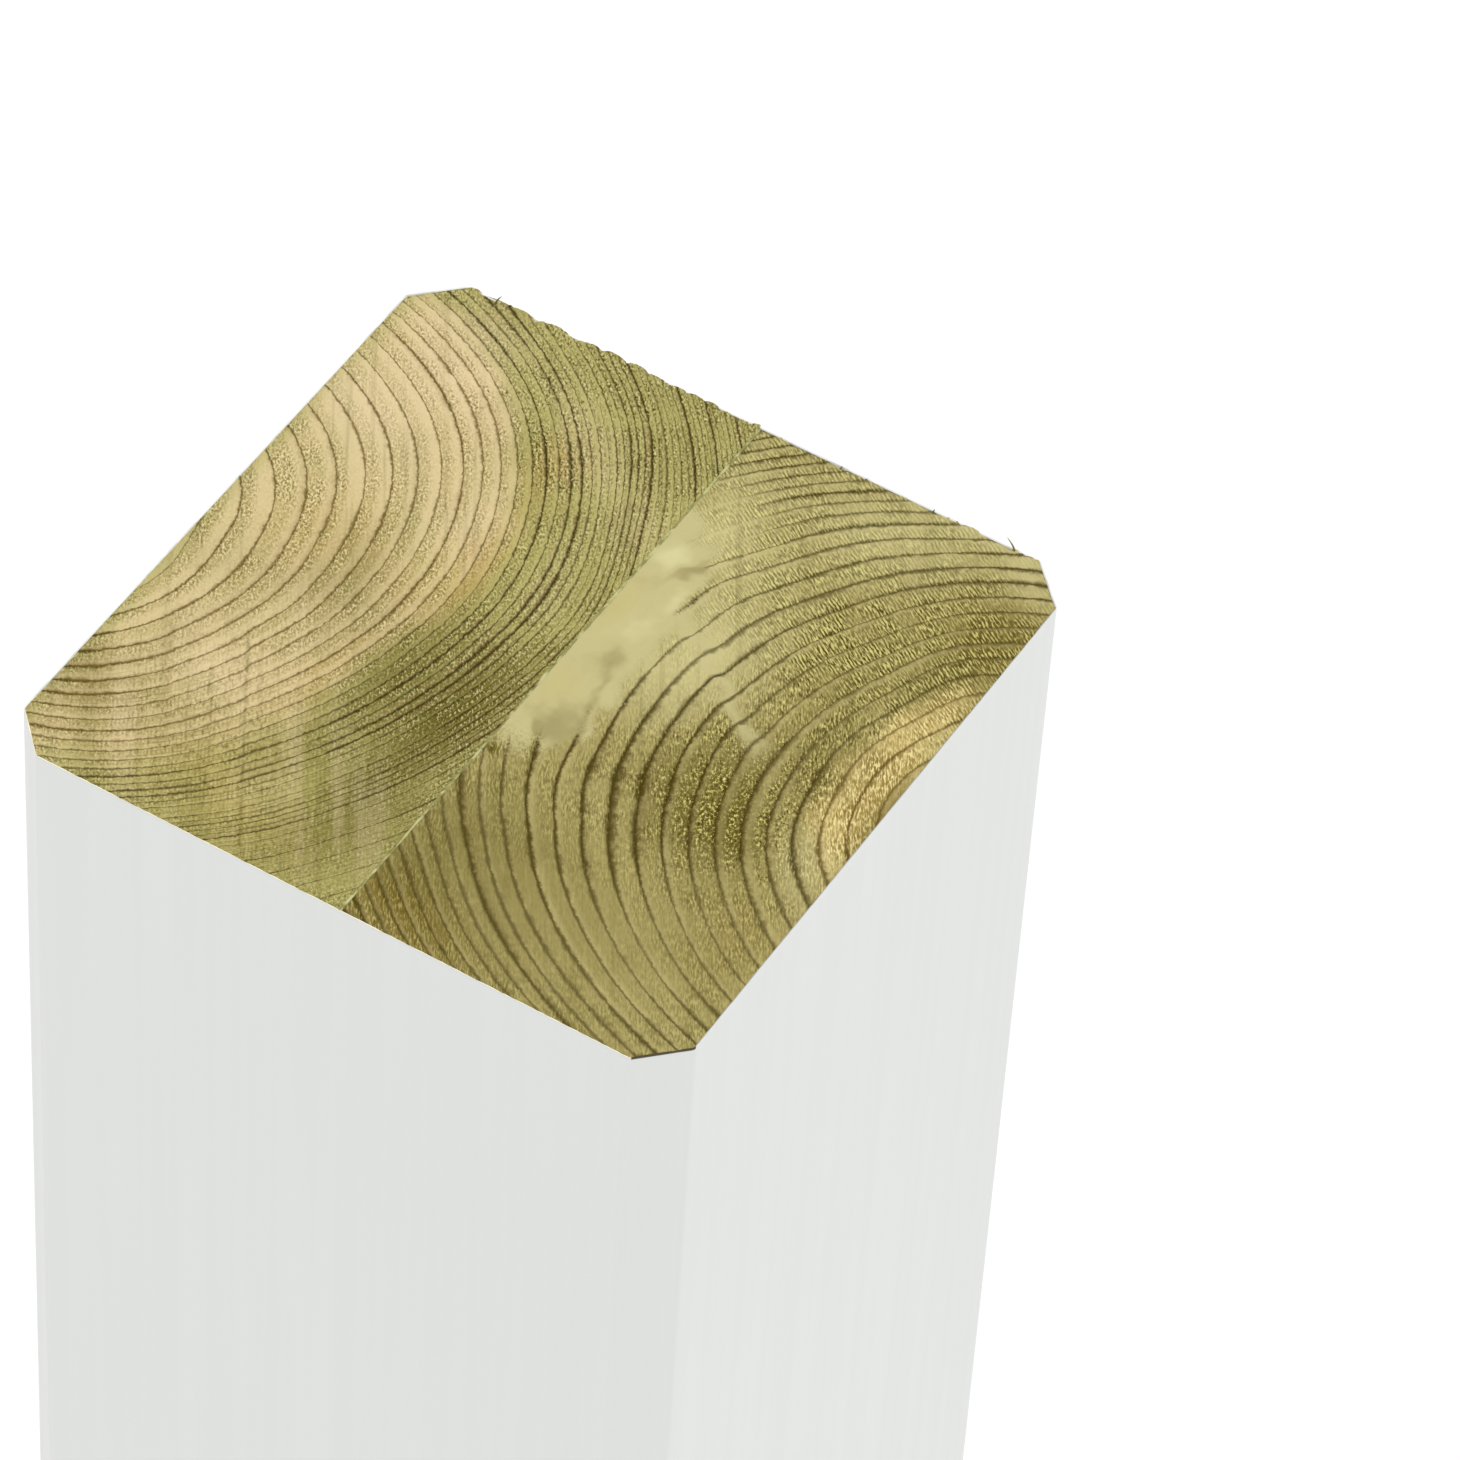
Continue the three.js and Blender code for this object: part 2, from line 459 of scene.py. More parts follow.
# %% Smear and streak of the right lamella
SMEAR_HEIGHTS = (-17, -14, -12, -9, -5, 0, 6, 12, 17, 20, 23, 26, 29, 32)
SMEAR_EDGE = (3.0, 6.0, 8.2, 9.8, 10.2, 9.8, 9.8, 10.4, 10.6, 9.6, 8.0, 5.4, 3.0, 1.0)
SMEAR_GAPS = [
    (9.3, 17.2, 0.6, 2.6, -12, 0.9), (6.6, -12.6, 0.6, 2.6, 26, 0.9), (9.7, -9.6, 0.6, 2.4, 12, 0.9),
    (2.6, -15.2, 1.6, 0.9, -20, 0.8),
]
SMEAR_SOFT = 1.6
SMEAR_SOFT_ABOVE = 0.8
SMEAR_CLOUDS = [
    (6.6, 20.6, 0.9, 3.2, -40, 0.75), (4.2, 25.6, 1.8, 1.8, 0, 0.2), (6.7, 4.6, 1.9, 3.4, -4, 0.55),
    (7.8, -0.5, 0.6, 3.2, 10, 0.5), (8.8, -5.8, 0.8, 2.6, 8, 0.5), (5.2, -7.2, 2.4, 1.8, 0, 0.2),
    (5, -9.4, 1.4, 0.6, -25, 0.5), (7.4, -9, 2.6, 4, 25, 0.7), (3.4, -11, 1.6, 2.2, 0, -0.3),
    (6.6, 10, 2.2, 3.2, 0, -0.55), (4, 21.5, 2, 3, 0, -0.75), (8, 16.5, 1, 2.6, 0, -0.6),
]
CLOUD_RIPPLE = 0.22
CLOUD_SEEDS = (236, 237)
STREAK_START = np.array((8.0, 16.0))
STREAK_END = np.array((28.5, 0.8))
STREAK_HALF_WIDTH = 0.95
STREAK_STEP = 0.12


def smear_mask(x, y):
    """1 between the joint and an uneven edge, whose x is given by height, less the gaps.

    The edge is softer higher up, and the smear fades at its lower and upper end.
    """
    uneven = 0.4 * soft_noise(x, y, 6.0, 31)
    edge = np.interp(y + 0.8 * soft_noise(x, y, 5.0, 34), SMEAR_HEIGHTS, SMEAR_EDGE) + uneven
    soft = SMEAR_SOFT + SMEAR_SOFT_ABOVE * smooth_step(y, -4, 14)
    ends = smooth_step(y, -18, -8) * smooth_step(-y, -33, -27)
    return smooth_step(edge - x, -soft, soft) * ends * (1 - patches(x, y, SMEAR_GAPS))


def smear_cloud(x, y):
    """Grey clouds of the smear, above 0, and pale ones, below it: soft ovals with rippled edges."""
    ripple_x, ripple_y = (CLOUD_RIPPLE * soft_noise(x, y, 3.0, seed) for seed in CLOUD_SEEDS)
    return patches(x + ripple_x, y + ripple_y, SMEAR_CLOUDS)


def streak_distance(x, y):
    """Signed distance to the streak's line, and a window that is 1 beside it and 0 past its ends."""
    run = STREAK_END - STREAK_START
    length = np.hypot(*run)
    along = ((x - STREAK_START[0]) * run[0] + (y - STREAK_START[1]) * run[1]) / length
    side = ((y - STREAK_START[1]) * run[0] - (x - STREAK_START[0]) * run[1]) / length
    window = smooth_step(along, -2, 3) * smooth_step(length - along, -2, 4)
    return side + 0.5 * soft_noise(x, y, 6.0, 33), window


print("streak is", round(float(np.hypot(*(STREAK_END - STREAK_START))), 1), "mm long")

# %% [markdown]
# ## The saw's path
#
# The blade went through at one slant, and its teeth left straight marks along it. Here and there
# the blade was pushed or held up for a moment, which left a scar right across the rings, and the
# rings seem to step sideways there. A scar is given by its place across the path, where it starts
# and ends along the path, and how strong it is.

# %% Saw path and scars
SAW_ANGLE = math.radians(-58)
SAW_SCARS = (
    (-34.0, -6.0, 32.0, 1.0), (-38.0, 0.0, 24.0, 0.6), (-42.8, -8.0, 16.0, 0.5),
    (-50.4, -4.0, 10.0, 0.4), (-25.3, 18.0, 36.0, 0.7), (-29.6, 14.0, 34.0, 0.4),
    (-27.2, -18.0, -4.0, 0.4), (33.4, -18.0, -2.0, 0.4), (43.5, -18.0, -2.0, 0.4),
    (0.5, 32.0, 50.0, 0.5), (-4.1, 28.0, 44.0, 0.4),
)
SCAR_HALF_WIDTH = 0.45
SCAR_STEP = 0.1
SCAR_FADE = 6


def saw_place(x, y):
    """Position along the saw's path and across it."""
    c, s = math.cos(SAW_ANGLE), math.sin(SAW_ANGLE)
    return x * c + y * s, y * c - x * s


def scar_steps(x, y):
    """How many rings the pattern steps by: the tanh of the distance to each scar, within its length."""
    along, across = saw_place(x, y)
    total = np.zeros_like(x)
    for place, start, end, strength in SAW_SCARS:
        run = smooth_step(along, start, start + SCAR_FADE) * smooth_step(end - along, 0, SCAR_FADE)
        total += strength * run * np.tanh((across - place) / SCAR_HALF_WIDTH)
    return SCAR_STEP * total


print(len(SAW_SCARS), "saw scars")

# %% [markdown]
# ## The field over one sawn end
#
# Everything that the sawn end needs is gathered in one function of x and y: the ring number, how
# wide that ring is, the distances used by the fibre pattern, and the broad areas. The mesh keeps
# these as attributes, and the material reads them.

# %% Fields of a sawn end
LEFT = SimpleNamespace(
    side=-1, seed=100, growth=LEFT_GROWTH, areas=LEFT_AREAS,
    heart_at=40.0, heart_climb=0.07, heart_fall=0.07, soaked=0.7, sparkle=0.62, grain=0.2, burr=0.9,
)
RIGHT = SimpleNamespace(
    side=1, seed=200, growth=RIGHT_GROWTH, areas=RIGHT_AREAS,
    heart_at=24.8, heart_climb=0.0, heart_fall=0.0, soaked=0.55, sparkle=0.55, grain=0.1, burr=0.6,
)
WIDTH_PROBE = 0.05
FOOT_SHARE = 0.4
FOOT_SHIFT = 2.5
LINE_SHARE = 0.75
LEAST_SLOPE = 0.05
SLOW_WOBBLE = 0.12
QUICK_WOBBLE = 0.012
HEART_SOFT = 1.6
SOAK_DEPTH = 2.6


def wobble(x, y, seed):
    """A slow noise and a quick one, in millimetres."""
    return SLOW_WOBBLE * soft_noise(x, y, 30.0, seed), QUICK_WOBBLE * soft_noise(x, y, 3.0, seed + 1)


def ring_field(x, y, lamella, foot):
    """Ring number and oval size at each point, after a wobble.

    The number steps by a part of a ring at the saw's scars on the left and at the streak on the right.
    """
    seed = lamella.seed + 50 * foot
    drift = FOOT_SHIFT * foot
    slow, quick = wobble(x, y, seed)
    x = x + slow + quick + drift
    slow, quick = wobble(x, y, seed + 2)
    y = y + slow + quick - drift
    size = ring_ovals(x, y, lamella.growth)
    number = ring_count(size, lamella.growth) - patches(x, y, lamella.growth.lag)
    if lamella.side < 0 and not foot:
        number = number + scar_steps(x, y)
    if lamella.side > 0 and not foot:
        side, window = streak_distance(x, y)
        number = number + STREAK_STEP * np.tanh(side / STREAK_HALF_WIDTH) * window
    return number, size


def end_fields(x, y, lamella, foot=False):
    """All that a sawn end shows, as arrays over the points x, y in millimetres."""
    number, size = ring_field(x, y, lamella, foot)
    slope_x = (ring_field(x + WIDTH_PROBE, y, lamella, foot)[0] - number) / WIDTH_PROBE
    slope_y = (ring_field(x, y + WIDTH_PROBE, lamella, foot)[0] - number) / WIDTH_PROBE
    edge = lamella.heart_at + lamella.heart_climb * np.maximum(y, 0)
    edge = edge + lamella.heart_fall * np.clip(y, -15, 0)
    edge = edge + 0.5 * soft_noise(x, y, 9.0, lamella.seed + 4)
    soft = HEART_SOFT
    if lamella.side < 0:
        low = smooth_step(-y, 12, 26)
        edge = edge + 2.5 * low
        soft = soft + 3.0 * low
    heart = 1 - smooth_step(size, edge - soft, edge + soft)
    soaking = smooth_step(lamella.side * x, WOOD_HALF - SOAK_DEPTH, WOOD_HALF)
    heart = heart * (1 - lamella.soaked * soaking)
    smear, cloud, streak = np.zeros((3, *x.shape))
    if lamella.side > 0 and not foot:
        smear = smear_mask(x, y)
        cloud = smear_cloud(x, y)
        side, window = streak_distance(x, y)
        streak = np.exp(-(side / STREAK_HALF_WIDTH) ** 2) * window
        heart = heart * smooth_step(y, -20, -10)
    share = FOOT_SHARE if foot else 1.0
    area = {}
    for name, places in vars(lamella.areas).items():
        area[name] = np.clip(share * patches(x, y, places), -1, 1)
    area["sparkle"] = np.clip(lamella.sparkle + area["sparkle"], 0, 1)
    area["grain"] = np.clip(lamella.grain + area["grain"], 0, 1)
    lines = np.array(lamella.growth.lines)
    line = lines[np.clip(np.rint(number).astype(int), 0, len(lines) - 1)]
    area["bold"] = np.clip(line * (LINE_SHARE + area["bold"]), 0, 1)
    return SimpleNamespace(
        number=number, size=size, width=1 / np.maximum(np.hypot(slope_x, slope_y), LEAST_SLOPE),
        heart=heart, smear=smear, cloud=cloud, streak=streak, **area,
    )


print("fields for two lamellas")

# %% [markdown]
# ## Relief of the sawn end
#
# A saw leaves an end grain that is not flat. Each ring climbs from soft early wood to hard late
# wood and drops at its line, the teeth leave straight ridges, and soft fibres are torn. At the
# back edge the blade came out, so wood stands up there in little scallops between the rings.

# %% Height of the sawn end
RING_STEP = 0.045
SAW_DEPTH = 0.022
TORN_DEPTH = 0.025
SWEEP_DEPTH = 0.06
REST_DEPTH = 0.12
RIM_DROP = 0.10
RIM_REACH = 0.3
BURR_RISE = 0.36
BURR_OUT = 0.34
BURR_REACH = 0.5
BURR_ROUNDING = 0.55
BURR_CLOSE = 16
BURR_SHARE = 0.4
BURR_FLOOR = 0.12


def saw_ridges(x, y, seed):
    """Straight ridges along the saw's path: waves of three lengths, which come and go."""
    over = -saw_place(x, y)[1]
    fade = 0.6 + 0.4 * soft_noise(x, y, 18.0, seed)
    fine = np.cos(2 * np.pi * over / 0.9 + 2 * soft_noise(over, 0 * over, 11.0, seed + 1))
    coarse = np.cos(2 * np.pi * over / 2.3 + 3 * soft_noise(over, 0 * over, 17.0, seed + 2))
    return (fine + coarse + 1.5 * soft_noise(over, 0 * over, 5.5, seed + 3)) * fade


def rim_distance(x, y):
    """Distance in from the nearest painted edge: two flats and the chamfer, whichever is least."""
    corner = (2 * WOOD_HALF - WOOD_CHAMFER - np.abs(x) - np.abs(y)) / math.sqrt(2)
    return np.minimum(np.minimum(WOOD_HALF - np.abs(x), WOOD_HALF - np.abs(y)), corner)


def back_burr(x, y, number, lamella):
    """Share of the burr on the back edge and its left chamfer, and how far the chamfer leans it to -X.

    Rounded lobes, abs(sin(pi n)) to a power below one, die away inwards. A lobe is one ring, and
    two rings or more past the ring from which they lie close together.
    """
    count = np.minimum(number, BURR_CLOSE) + np.maximum(number - BURR_CLOSE, 0) * BURR_SHARE
    lobe = np.abs(np.sin(np.pi * count))
    bump = BURR_FLOOR + (1 - BURR_FLOOR) * lobe ** BURR_ROUNDING
    uneven = lamella.burr * (1 + 0.4 * soft_noise(x, 0 * x, 7.0, lamella.seed + 40))
    uneven = np.clip(uneven, 0.1, 1.3)
    uneven = uneven * smooth_step(x, -WOOD_HALF + 0.8, -WOOD_HALF + 3.5)
    back = WOOD_HALF - y
    corner = (2 * WOOD_HALF - WOOD_CHAMFER + x - y) / math.sqrt(2)
    depth = np.maximum(np.minimum(back, corner), 0)
    lean = smooth_step(back - corner, -0.3, 0.3)
    return bump * uneven * np.exp(-depth / BURR_REACH), lean


def sawn_height(x, y, field, seed):
    """Height above the sawn plane in millimetres, mostly a little below it."""
    part = field.number % 1
    steps = RING_STEP * np.clip(field.width / 2.0, 0.4, 1.0) * part ** 2
    bare = 1 - np.clip(field.smear + 0.6 * field.streak, 0, 1)
    torn = TORN_DEPTH * (0.6 + field.sparkle) * soft_noise(x, y, 0.75, seed + 10)
    rough = (steps + torn + SAW_DEPTH * saw_ridges(x, y, seed + 20)) * (0.15 + 0.85 * bare)
    sweep = SWEEP_DEPTH * soft_noise(x, y, 30.0, seed + 30)
    return rough + sweep - REST_DEPTH - RIM_DROP * np.exp(-rim_distance(x, y) / RIM_REACH)


print("ring step", RING_STEP, "mm, burr", BURR_RISE, "mm")

# %% [markdown]
# ## Meshes from arrays
#
# A solid is an array of points and arrays of corner numbers. Blender takes them whole through
# foreach_set, which is quick even for many thousands of faces.

# %% Mesh helpers
SHARP_ANGLE = math.radians(50)


def counts_of(faces):
    """How many corners each face has, for all faces in order."""
    return np.concatenate([np.full(len(f), f.shape[1]) for f in faces])


def solid(name, points, faces, material):
    """An object from points in millimetres and a list of corner arrays, one row for each face."""
    corners = np.concatenate([f.ravel() for f in faces]).astype(np.int32)
    sides = counts_of(faces)
    mesh = bpy.data.meshes.new(name)
    mesh.vertices.add(len(points))
    mesh.vertices.foreach_set("co", (points * MM).astype(np.float32).ravel())
    mesh.loops.add(len(corners))
    mesh.loops.foreach_set("vertex_index", corners)
    mesh.polygons.add(len(sides))
    mesh.polygons.foreach_set("loop_start", (np.cumsum(sides) - sides).astype(np.int32))
    mesh.update(calc_edges=True)
    mesh.shade_smooth()
    mesh.set_sharp_from_angle(angle=SHARP_ANGLE)
    mesh.materials.append(material)
    piece = bpy.data.objects.new(name, mesh)
    bpy.context.scene.collection.objects.link(piece)
    print(f"{name}: {len(points)} points, {int((sides - 2).sum())} triangles")
    return piece


def keep_values(piece, name, values):
    """Store one number for each vertex, or three or four, as an attribute for a material to read."""
    values = np.asarray(values, np.float32)
    kinds = {1: ("FLOAT", "value"), 3: ("FLOAT_VECTOR", "vector"), 4: ("FLOAT_COLOR", "color")}
    kind, field = kinds[1 if values.ndim == 1 else values.shape[1]]
    attribute = piece.data.attributes.new(name, kind, "POINT")
    attribute.data.foreach_set(field, values.ravel())


def grid_quads(rows, columns, first=0):
    """Corner numbers of a grid's faces, counter-clockwise where columns run right and rows up."""
    number = first + np.arange(rows * columns).reshape(rows, columns)
    quads = [number[:-1, :-1], number[:-1, 1:], number[1:, 1:], number[1:, :-1]]
    return np.stack(quads, -1).reshape(-1, 4)


def grid_rim(rows, columns, first=0):
    """Vertex numbers round a grid's edge, counter-clockwise from its first corner."""
    number = first + np.arange(rows * columns).reshape(rows, columns)
    return np.concatenate([number[0, :-1], number[:-1, -1], number[-1, :0:-1], number[:0:-1, 0]])


print("mesh helpers ready")

# %% [markdown]
# ## The growth ring pattern as a node group
#
# Both lamellas share the pattern, so it is a node group. It takes the ring number and the ring's
# width. It gives back the dark line that ends a ring, the smooth late wood before that line, and
# the shade that gathers towards it. A draw for each whole number makes no two rings alike.

# %% Node group for ring lines
FLOAT, VECTOR = "NodeSocketFloat", "NodeSocketVector"
LINE_WANDER = 0.42
EARLIEST_SMOOTH = -0.3
SMOOTH_OVER = 0.35


def group(name, inputs, outputs):
    """An empty node group with named inputs and float outputs; returns it and its end sockets."""
    tree = bpy.data.node_groups.new(name, "ShaderNodeTree")
    for label, kind in inputs.items():
        tree.interface.new_socket(label, in_out="INPUT", socket_type=kind)
    for label in outputs:
        tree.interface.new_socket(label, in_out="OUTPUT", socket_type="NodeSocketFloat")
    return tree, tree.nodes.new("NodeGroupInput").outputs, tree.nodes.new("NodeGroupOutput").inputs


def put_out(tree, result, values):
    """Link each value to the group's output of its name."""
    for label, value in values.items():
        tree.links.new(value, result[label])


def ring_line_group():
    """The line at the end of each ring, from the ring number and the ring's width in millimetres.

    How far a point is ahead of a line or past it, over the line's thickness, gives the line's dark
    core and its softer flanks. Thickness is the wood's own, times a slow and a quick noise, a draw
    for the year and how bold that year's line is, and never more than a share of the ring.
    """
    tree, given, result = group(
        "ring lines",
        {"Ring": FLOAT, "Width": FLOAT, "Line": FLOAT, "Bold": FLOAT, "Smooth from": FLOAT,
         "Place": VECTOR},
        ["Dark", "Late", "Near"],
    )
    place, width, bold = given["Place"], given["Width"], given["Bold"]
    wander = noise(tree, place, 1500.0, 2.0, 0.7)
    wander = calc(tree, "MULTIPLY_ADD", wander, LINE_WANDER, -LINE_WANDER / 2)
    ring = calc(tree, "ADD", given["Ring"], calc(tree, "DIVIDE", wander, width))
    part = calc(tree, "FRACT", ring)
    past = times(tree, part, width)
    ahead = calc(tree, "SUBTRACT", width, past)
    year = {"W": calc(tree, "FLOOR", ring)}
    draws = add(tree, "ShaderNodeTexWhiteNoise", year, noise_dimensions="1D").outputs["Color"]
    smooth_draw, thick_draw, shade_draw = add(tree, "ShaderNodeSeparateColor", {0: draws}).outputs

    slow = ramp(tree, noise(tree, place, 130.0, 3.0, 0.6), 0.3, 0.7, 0.5, 1.4)
    quick = ramp(tree, noise(tree, place, 750.0, 2.0, 0.6), 0.3, 0.7, 0.65, 1.3)
    yearly = ramp(tree, thick_draw, 0.0, 1.0, 0.75, 1.3)
    thick = times(tree, given["Line"], slow)
    thick = times(tree, thick, calc(tree, "MULTIPLY_ADD", bold, 0.8, 0.2))
    thick = times(tree, times(tree, thick, quick), yearly)
    limit = times(tree, width, calc(tree, "MULTIPLY_ADD", bold, 0.16, 0.08))
    thick = calc(tree, "MINIMUM", thick, limit)
    before = calc(tree, "DIVIDE", ahead, thick)
    after = calc(tree, "DIVIDE", past, thick)
    inner = less(tree, ramp(tree, before, 0.0, 2.3))
    outer = less(tree, ramp(tree, after, 0.0, 1.8))
    strength = calc(tree, "MULTIPLY_ADD", bold, 0.75, 0.45)
    strength = calc(tree, "MINIMUM", strength, times(tree, bold, 3.0))
    strength = calc(tree, "MINIMUM", strength, 1.0)
    smooth = calc(tree, "MULTIPLY_ADD", smooth_draw, EARLIEST_SMOOTH, part)
    smooth = calc(tree, "SUBTRACT", smooth, given["Smooth from"])
    reach = calc(tree, "MULTIPLY_ADD", calc(tree, "POWER", shade_draw, 3.0), 5.0, 3.2)
    put_out(tree, result, {
        "Dark": times(tree, calc(tree, "MAXIMUM", inner, outer), strength),
        "Late": ramp(tree, smooth, 0.0, SMOOTH_OVER),
        "Near": times(tree, less(tree, ramp(tree, before, 0.8, reach)), bold),
    })
    return tree


ring_lines = ring_line_group()
print("ring lines:", len(ring_lines.nodes), "nodes")

# %% [markdown]
# ## Torn fibres and saw marks as node groups
#
# The early wood is torn into short light and dark flecks: partly their own colour, partly painted
# highlight and shade of the torn relief. Where they are strokes, noise stretched along the saw's path
# gives them, and towards the back of the right lamella they slant from that path like the teeth of a
# comb. Elsewhere they are small grains. The saw's own straight marks are broad shading and bands, fine
# scratches, rows of tooth marks, and scars where the blade dug in, darkened as painted shade of their
# grooves.

# %% Node groups for flecks and saw marks
SLANT = math.radians(26)
COMB_PITCH = 0.46
COMB_DEPTH = 0.09
COMB_WANDER = 10.0
TOOTH_PITCH = 0.47
TOOTH_DEPTH = 0.22
TOOTH_WANDER = 9.0
CHATTER = 3.4
SCAR_TAPER = 4.0
MILLIMETRES = (1 / MM, 1 / MM, 0.0)


def along_saw(tree, spot, scale, slant=0.0):
    """Coordinates turned to the saw's path, or to a slant from it, then scaled along and across."""
    inputs = {"Vector": spot, "Angle": -SAW_ANGLE - slant}
    turned = add(tree, "ShaderNodeVectorRotate", inputs, rotation_type="Z_AXIS").outputs[0]
    return add(tree, "ShaderNodeVectorMath", {0: turned, 1: scale}, operation="MULTIPLY").outputs[0]


def sawn_noise(tree, spot, along, across, detail=1.0, roughness=0.5):
    """Noise stretched along the saw's path, from how often it changes in a metre each way."""
    return noise(tree, along_saw(tree, spot, (along, across, 0.0)), 1.0, detail, roughness)


def waves(tree, place, pitch, wander, amount):
    """A sine of the given pitch in millimetres, whose phase a noise pushes to and fro."""
    phase = times(tree, place, 2 * math.pi / pitch)
    return calc(tree, "SINE", calc(tree, "MULTIPLY_ADD", wander, amount, phase))


def fibre_fleck_group():
    """Light and dark flecks: strokes along the saw's path or slanting from it, or grains."""
    tree, given, result = group(
        "fibre flecks", {"Place": VECTOR, "Stretch": VECTOR, "Grain": FLOAT, "Slant": FLOAT},
        ["Light", "Dark", "Height", "Draw"],
    )
    place, stretch, slant = given["Place"], given["Stretch"], given["Slant"]
    straight = noise(tree, along_saw(tree, place, stretch), 1.0, 1.0, 0.6)
    slanting = noise(tree, along_saw(tree, place, stretch, SLANT), 1.0, 1.0, 0.6)
    leaning = add(tree, "ShaderNodeSeparateXYZ", {0: along_saw(tree, place, MILLIMETRES, SLANT)}).outputs
    comb = waves(tree, leaning["Y"], COMB_PITCH, noise(tree, place, 420.0, 2.0), COMB_WANDER)
    strokes = between(tree, slant, straight, slanting)
    strokes = calc(tree, "MULTIPLY_ADD", times(tree, comb, slant), COMB_DEPTH, strokes)
    strokes = ramp(tree, strokes, 0.34, 0.66)
    grains = ramp(tree, sawn_noise(tree, place, 2200.0, 2900.0, 2.0, 0.7), 0.36, 0.66)
    fleck = between(tree, given["Grain"], strokes, grains)
    inputs = {"Vector": along_saw(tree, place, (3200.0, 4200.0, 0.0)), "Scale": 1.0}
    cells = add(tree, "ShaderNodeTexVoronoi", inputs, voronoi_dimensions="2D").outputs["Color"]
    put_out(tree, result, {
        "Light": ramp(tree, fleck, 0.55, 0.95),
        "Dark": ramp(tree, fleck, 0.45, 0.05),
        "Height": fleck,
        "Draw": add(tree, "ShaderNodeSeparateColor", {0: cells}).outputs[1],
    })
    return tree


def saw_mark_group():
    """Straight marks along the saw's path: broad shading, bands, scratches, teeth, and painted shade along
    the scars.
    """
    tree, given, result = group(
        "saw marks", {"Place": VECTOR}, ["Broad", "Band", "Scratch", "Teeth", "ScarShade"],
    )
    place = given["Place"]
    along, across, _ = add(tree, "ShaderNodeSeparateXYZ", {0: along_saw(tree, place, MILLIMETRES)}).outputs
    ridges = waves(tree, across, TOOTH_PITCH, sawn_noise(tree, place, 160.0, 420.0, 2.0), TOOTH_WANDER)
    chatter = sawn_noise(tree, place, 1300.0, 2600.0)
    chatter = calc(tree, "MULTIPLY_ADD", chatter, CHATTER, -CHATTER / 2)
    # Painted shade along each scar, in place of the groove the blade left, patchy along its length.
    dug = 0.0
    for scar_at, start, end, strength in SAW_SCARS:
        off = calc(tree, "ABSOLUTE", calc(tree, "SUBTRACT", across, scar_at))
        begun = ramp(tree, along, start, start + SCAR_TAPER)
        left = ramp(tree, along, end, end - SCAR_TAPER)
        run = times(tree, times(tree, begun, left), strength)
        dug = calc(tree, "MAXIMUM", dug, times(tree, ramp(tree, off, SCAR_HALF_WIDTH, 0.0), run))
    scar_patchiness = ramp(tree, noise(tree, place, 1000.0, 2.0), 0.35, 0.6, 0.3, 1.0)
    put_out(tree, result, {
        "Broad": sawn_noise(tree, place, 22.0, 700.0, 3.0, 0.6),
        "Band": sawn_noise(tree, place, 14.0, 260.0, 2.0),
        "Scratch": sawn_noise(tree, place, 260.0, 2100.0),
        "Teeth": calc(tree, "MULTIPLY_ADD", ridges, TOOTH_DEPTH, chatter),
        "ScarShade": times(tree, dug, scar_patchiness),
    })
    return tree


fibre_flecks = fibre_fleck_group()
saw_marks = saw_mark_group()
print("flecks:", len(fibre_flecks.nodes), "nodes; saw marks:", len(saw_marks.nodes), "nodes")

# %% [markdown]
# ## Sawn pine
#
# The material lays the colours over each other in the order that the wood has them: the wood's own
# tones, flecks and saw marks, then the ring lines, and last the smooth smear. First it gathers what
# the mesh's attributes and the node groups say at a point. Fibres are torn less in smooth late wood
# and not at all under the smear, whose edge is frayed.

# %% Values of a sawn end
GRAIN_ROUGHENS = -0.25
SLANT_FROM = 7.0
SLANT_TO = 20.0
FRAYING = 0.4


def use_group(tree, group_tree, inputs):
    """The outputs of a node group, put into a material with its inputs filled or linked."""
    return add(tree, "ShaderNodeGroup", inputs, node_tree=group_tree).outputs


def end_values(tree, looks):
    """What the mesh and the shared groups say at each point of a sawn end."""
    spot = object_spot(tree)
    ring, width, size = add(tree, "ShaderNodeSeparateXYZ", {0: attribute(tree, "rings")["Vector"]}).outputs
    tones, marks = attribute(tree, "tones"), attribute(tree, "marks")
    heart, shade, warm = add(tree, "ShaderNodeSeparateColor", {0: tones["Color"]}).outputs
    smear, streak, bold = add(tree, "ShaderNodeSeparateColor", {0: marks["Color"]}).outputs
    grain = attribute(tree, "grain")["Fac"]
    thick = calc(tree, "MULTIPLY_ADD", heart, looks.heart_line - looks.line, looks.line)
    smooth = calc(tree, "MULTIPLY_ADD", heart, looks.heart_smooth - looks.smooth_from, looks.smooth_from)
    smooth = calc(tree, "MULTIPLY_ADD", grain, GRAIN_ROUGHENS, smooth)
    lines = use_group(tree, ring_lines, {
        "Ring": ring, "Width": width, "Line": thick, "Bold": bold, "Smooth from": smooth, "Place": spot,
    })
    back = add(tree, "ShaderNodeSeparateXYZ", {0: spot}).outputs["Y"]
    slant = ramp(tree, back, SLANT_FROM * MM, SLANT_TO * MM, 0.0, looks.slant)
    flecks = use_group(tree, fibre_flecks, {
        "Place": spot, "Stretch": looks.stretch, "Grain": grain, "Slant": slant,
    })
    smear = ramp(tree, calc(tree, "MULTIPLY_ADD", flecks["Draw"], FRAYING, smear), 0.3, 1.1)
    torn = times(tree, tones["Alpha"], less(tree, times(tree, lines["Late"], 0.8)))
    torn = times(tree, torn, ramp(tree, noise(tree, spot, 260.0, 2.0), 0.35, 0.6, 0.5, 1.15))
    torn = times(tree, torn, less(tree, calc(tree, "MAXIMUM", smear, times(tree, streak, 0.8))))
    return SimpleNamespace(
        spot=spot, size=size, heart=heart, shade=shade, warm=warm, grain=grain, lines=lines,
        flecks=flecks, smear=smear, streak=streak, torn=torn, weave=marks["Alpha"],
        saw=use_group(tree, saw_marks, {"Place": spot}),
    )


print("values of a sawn end ready")

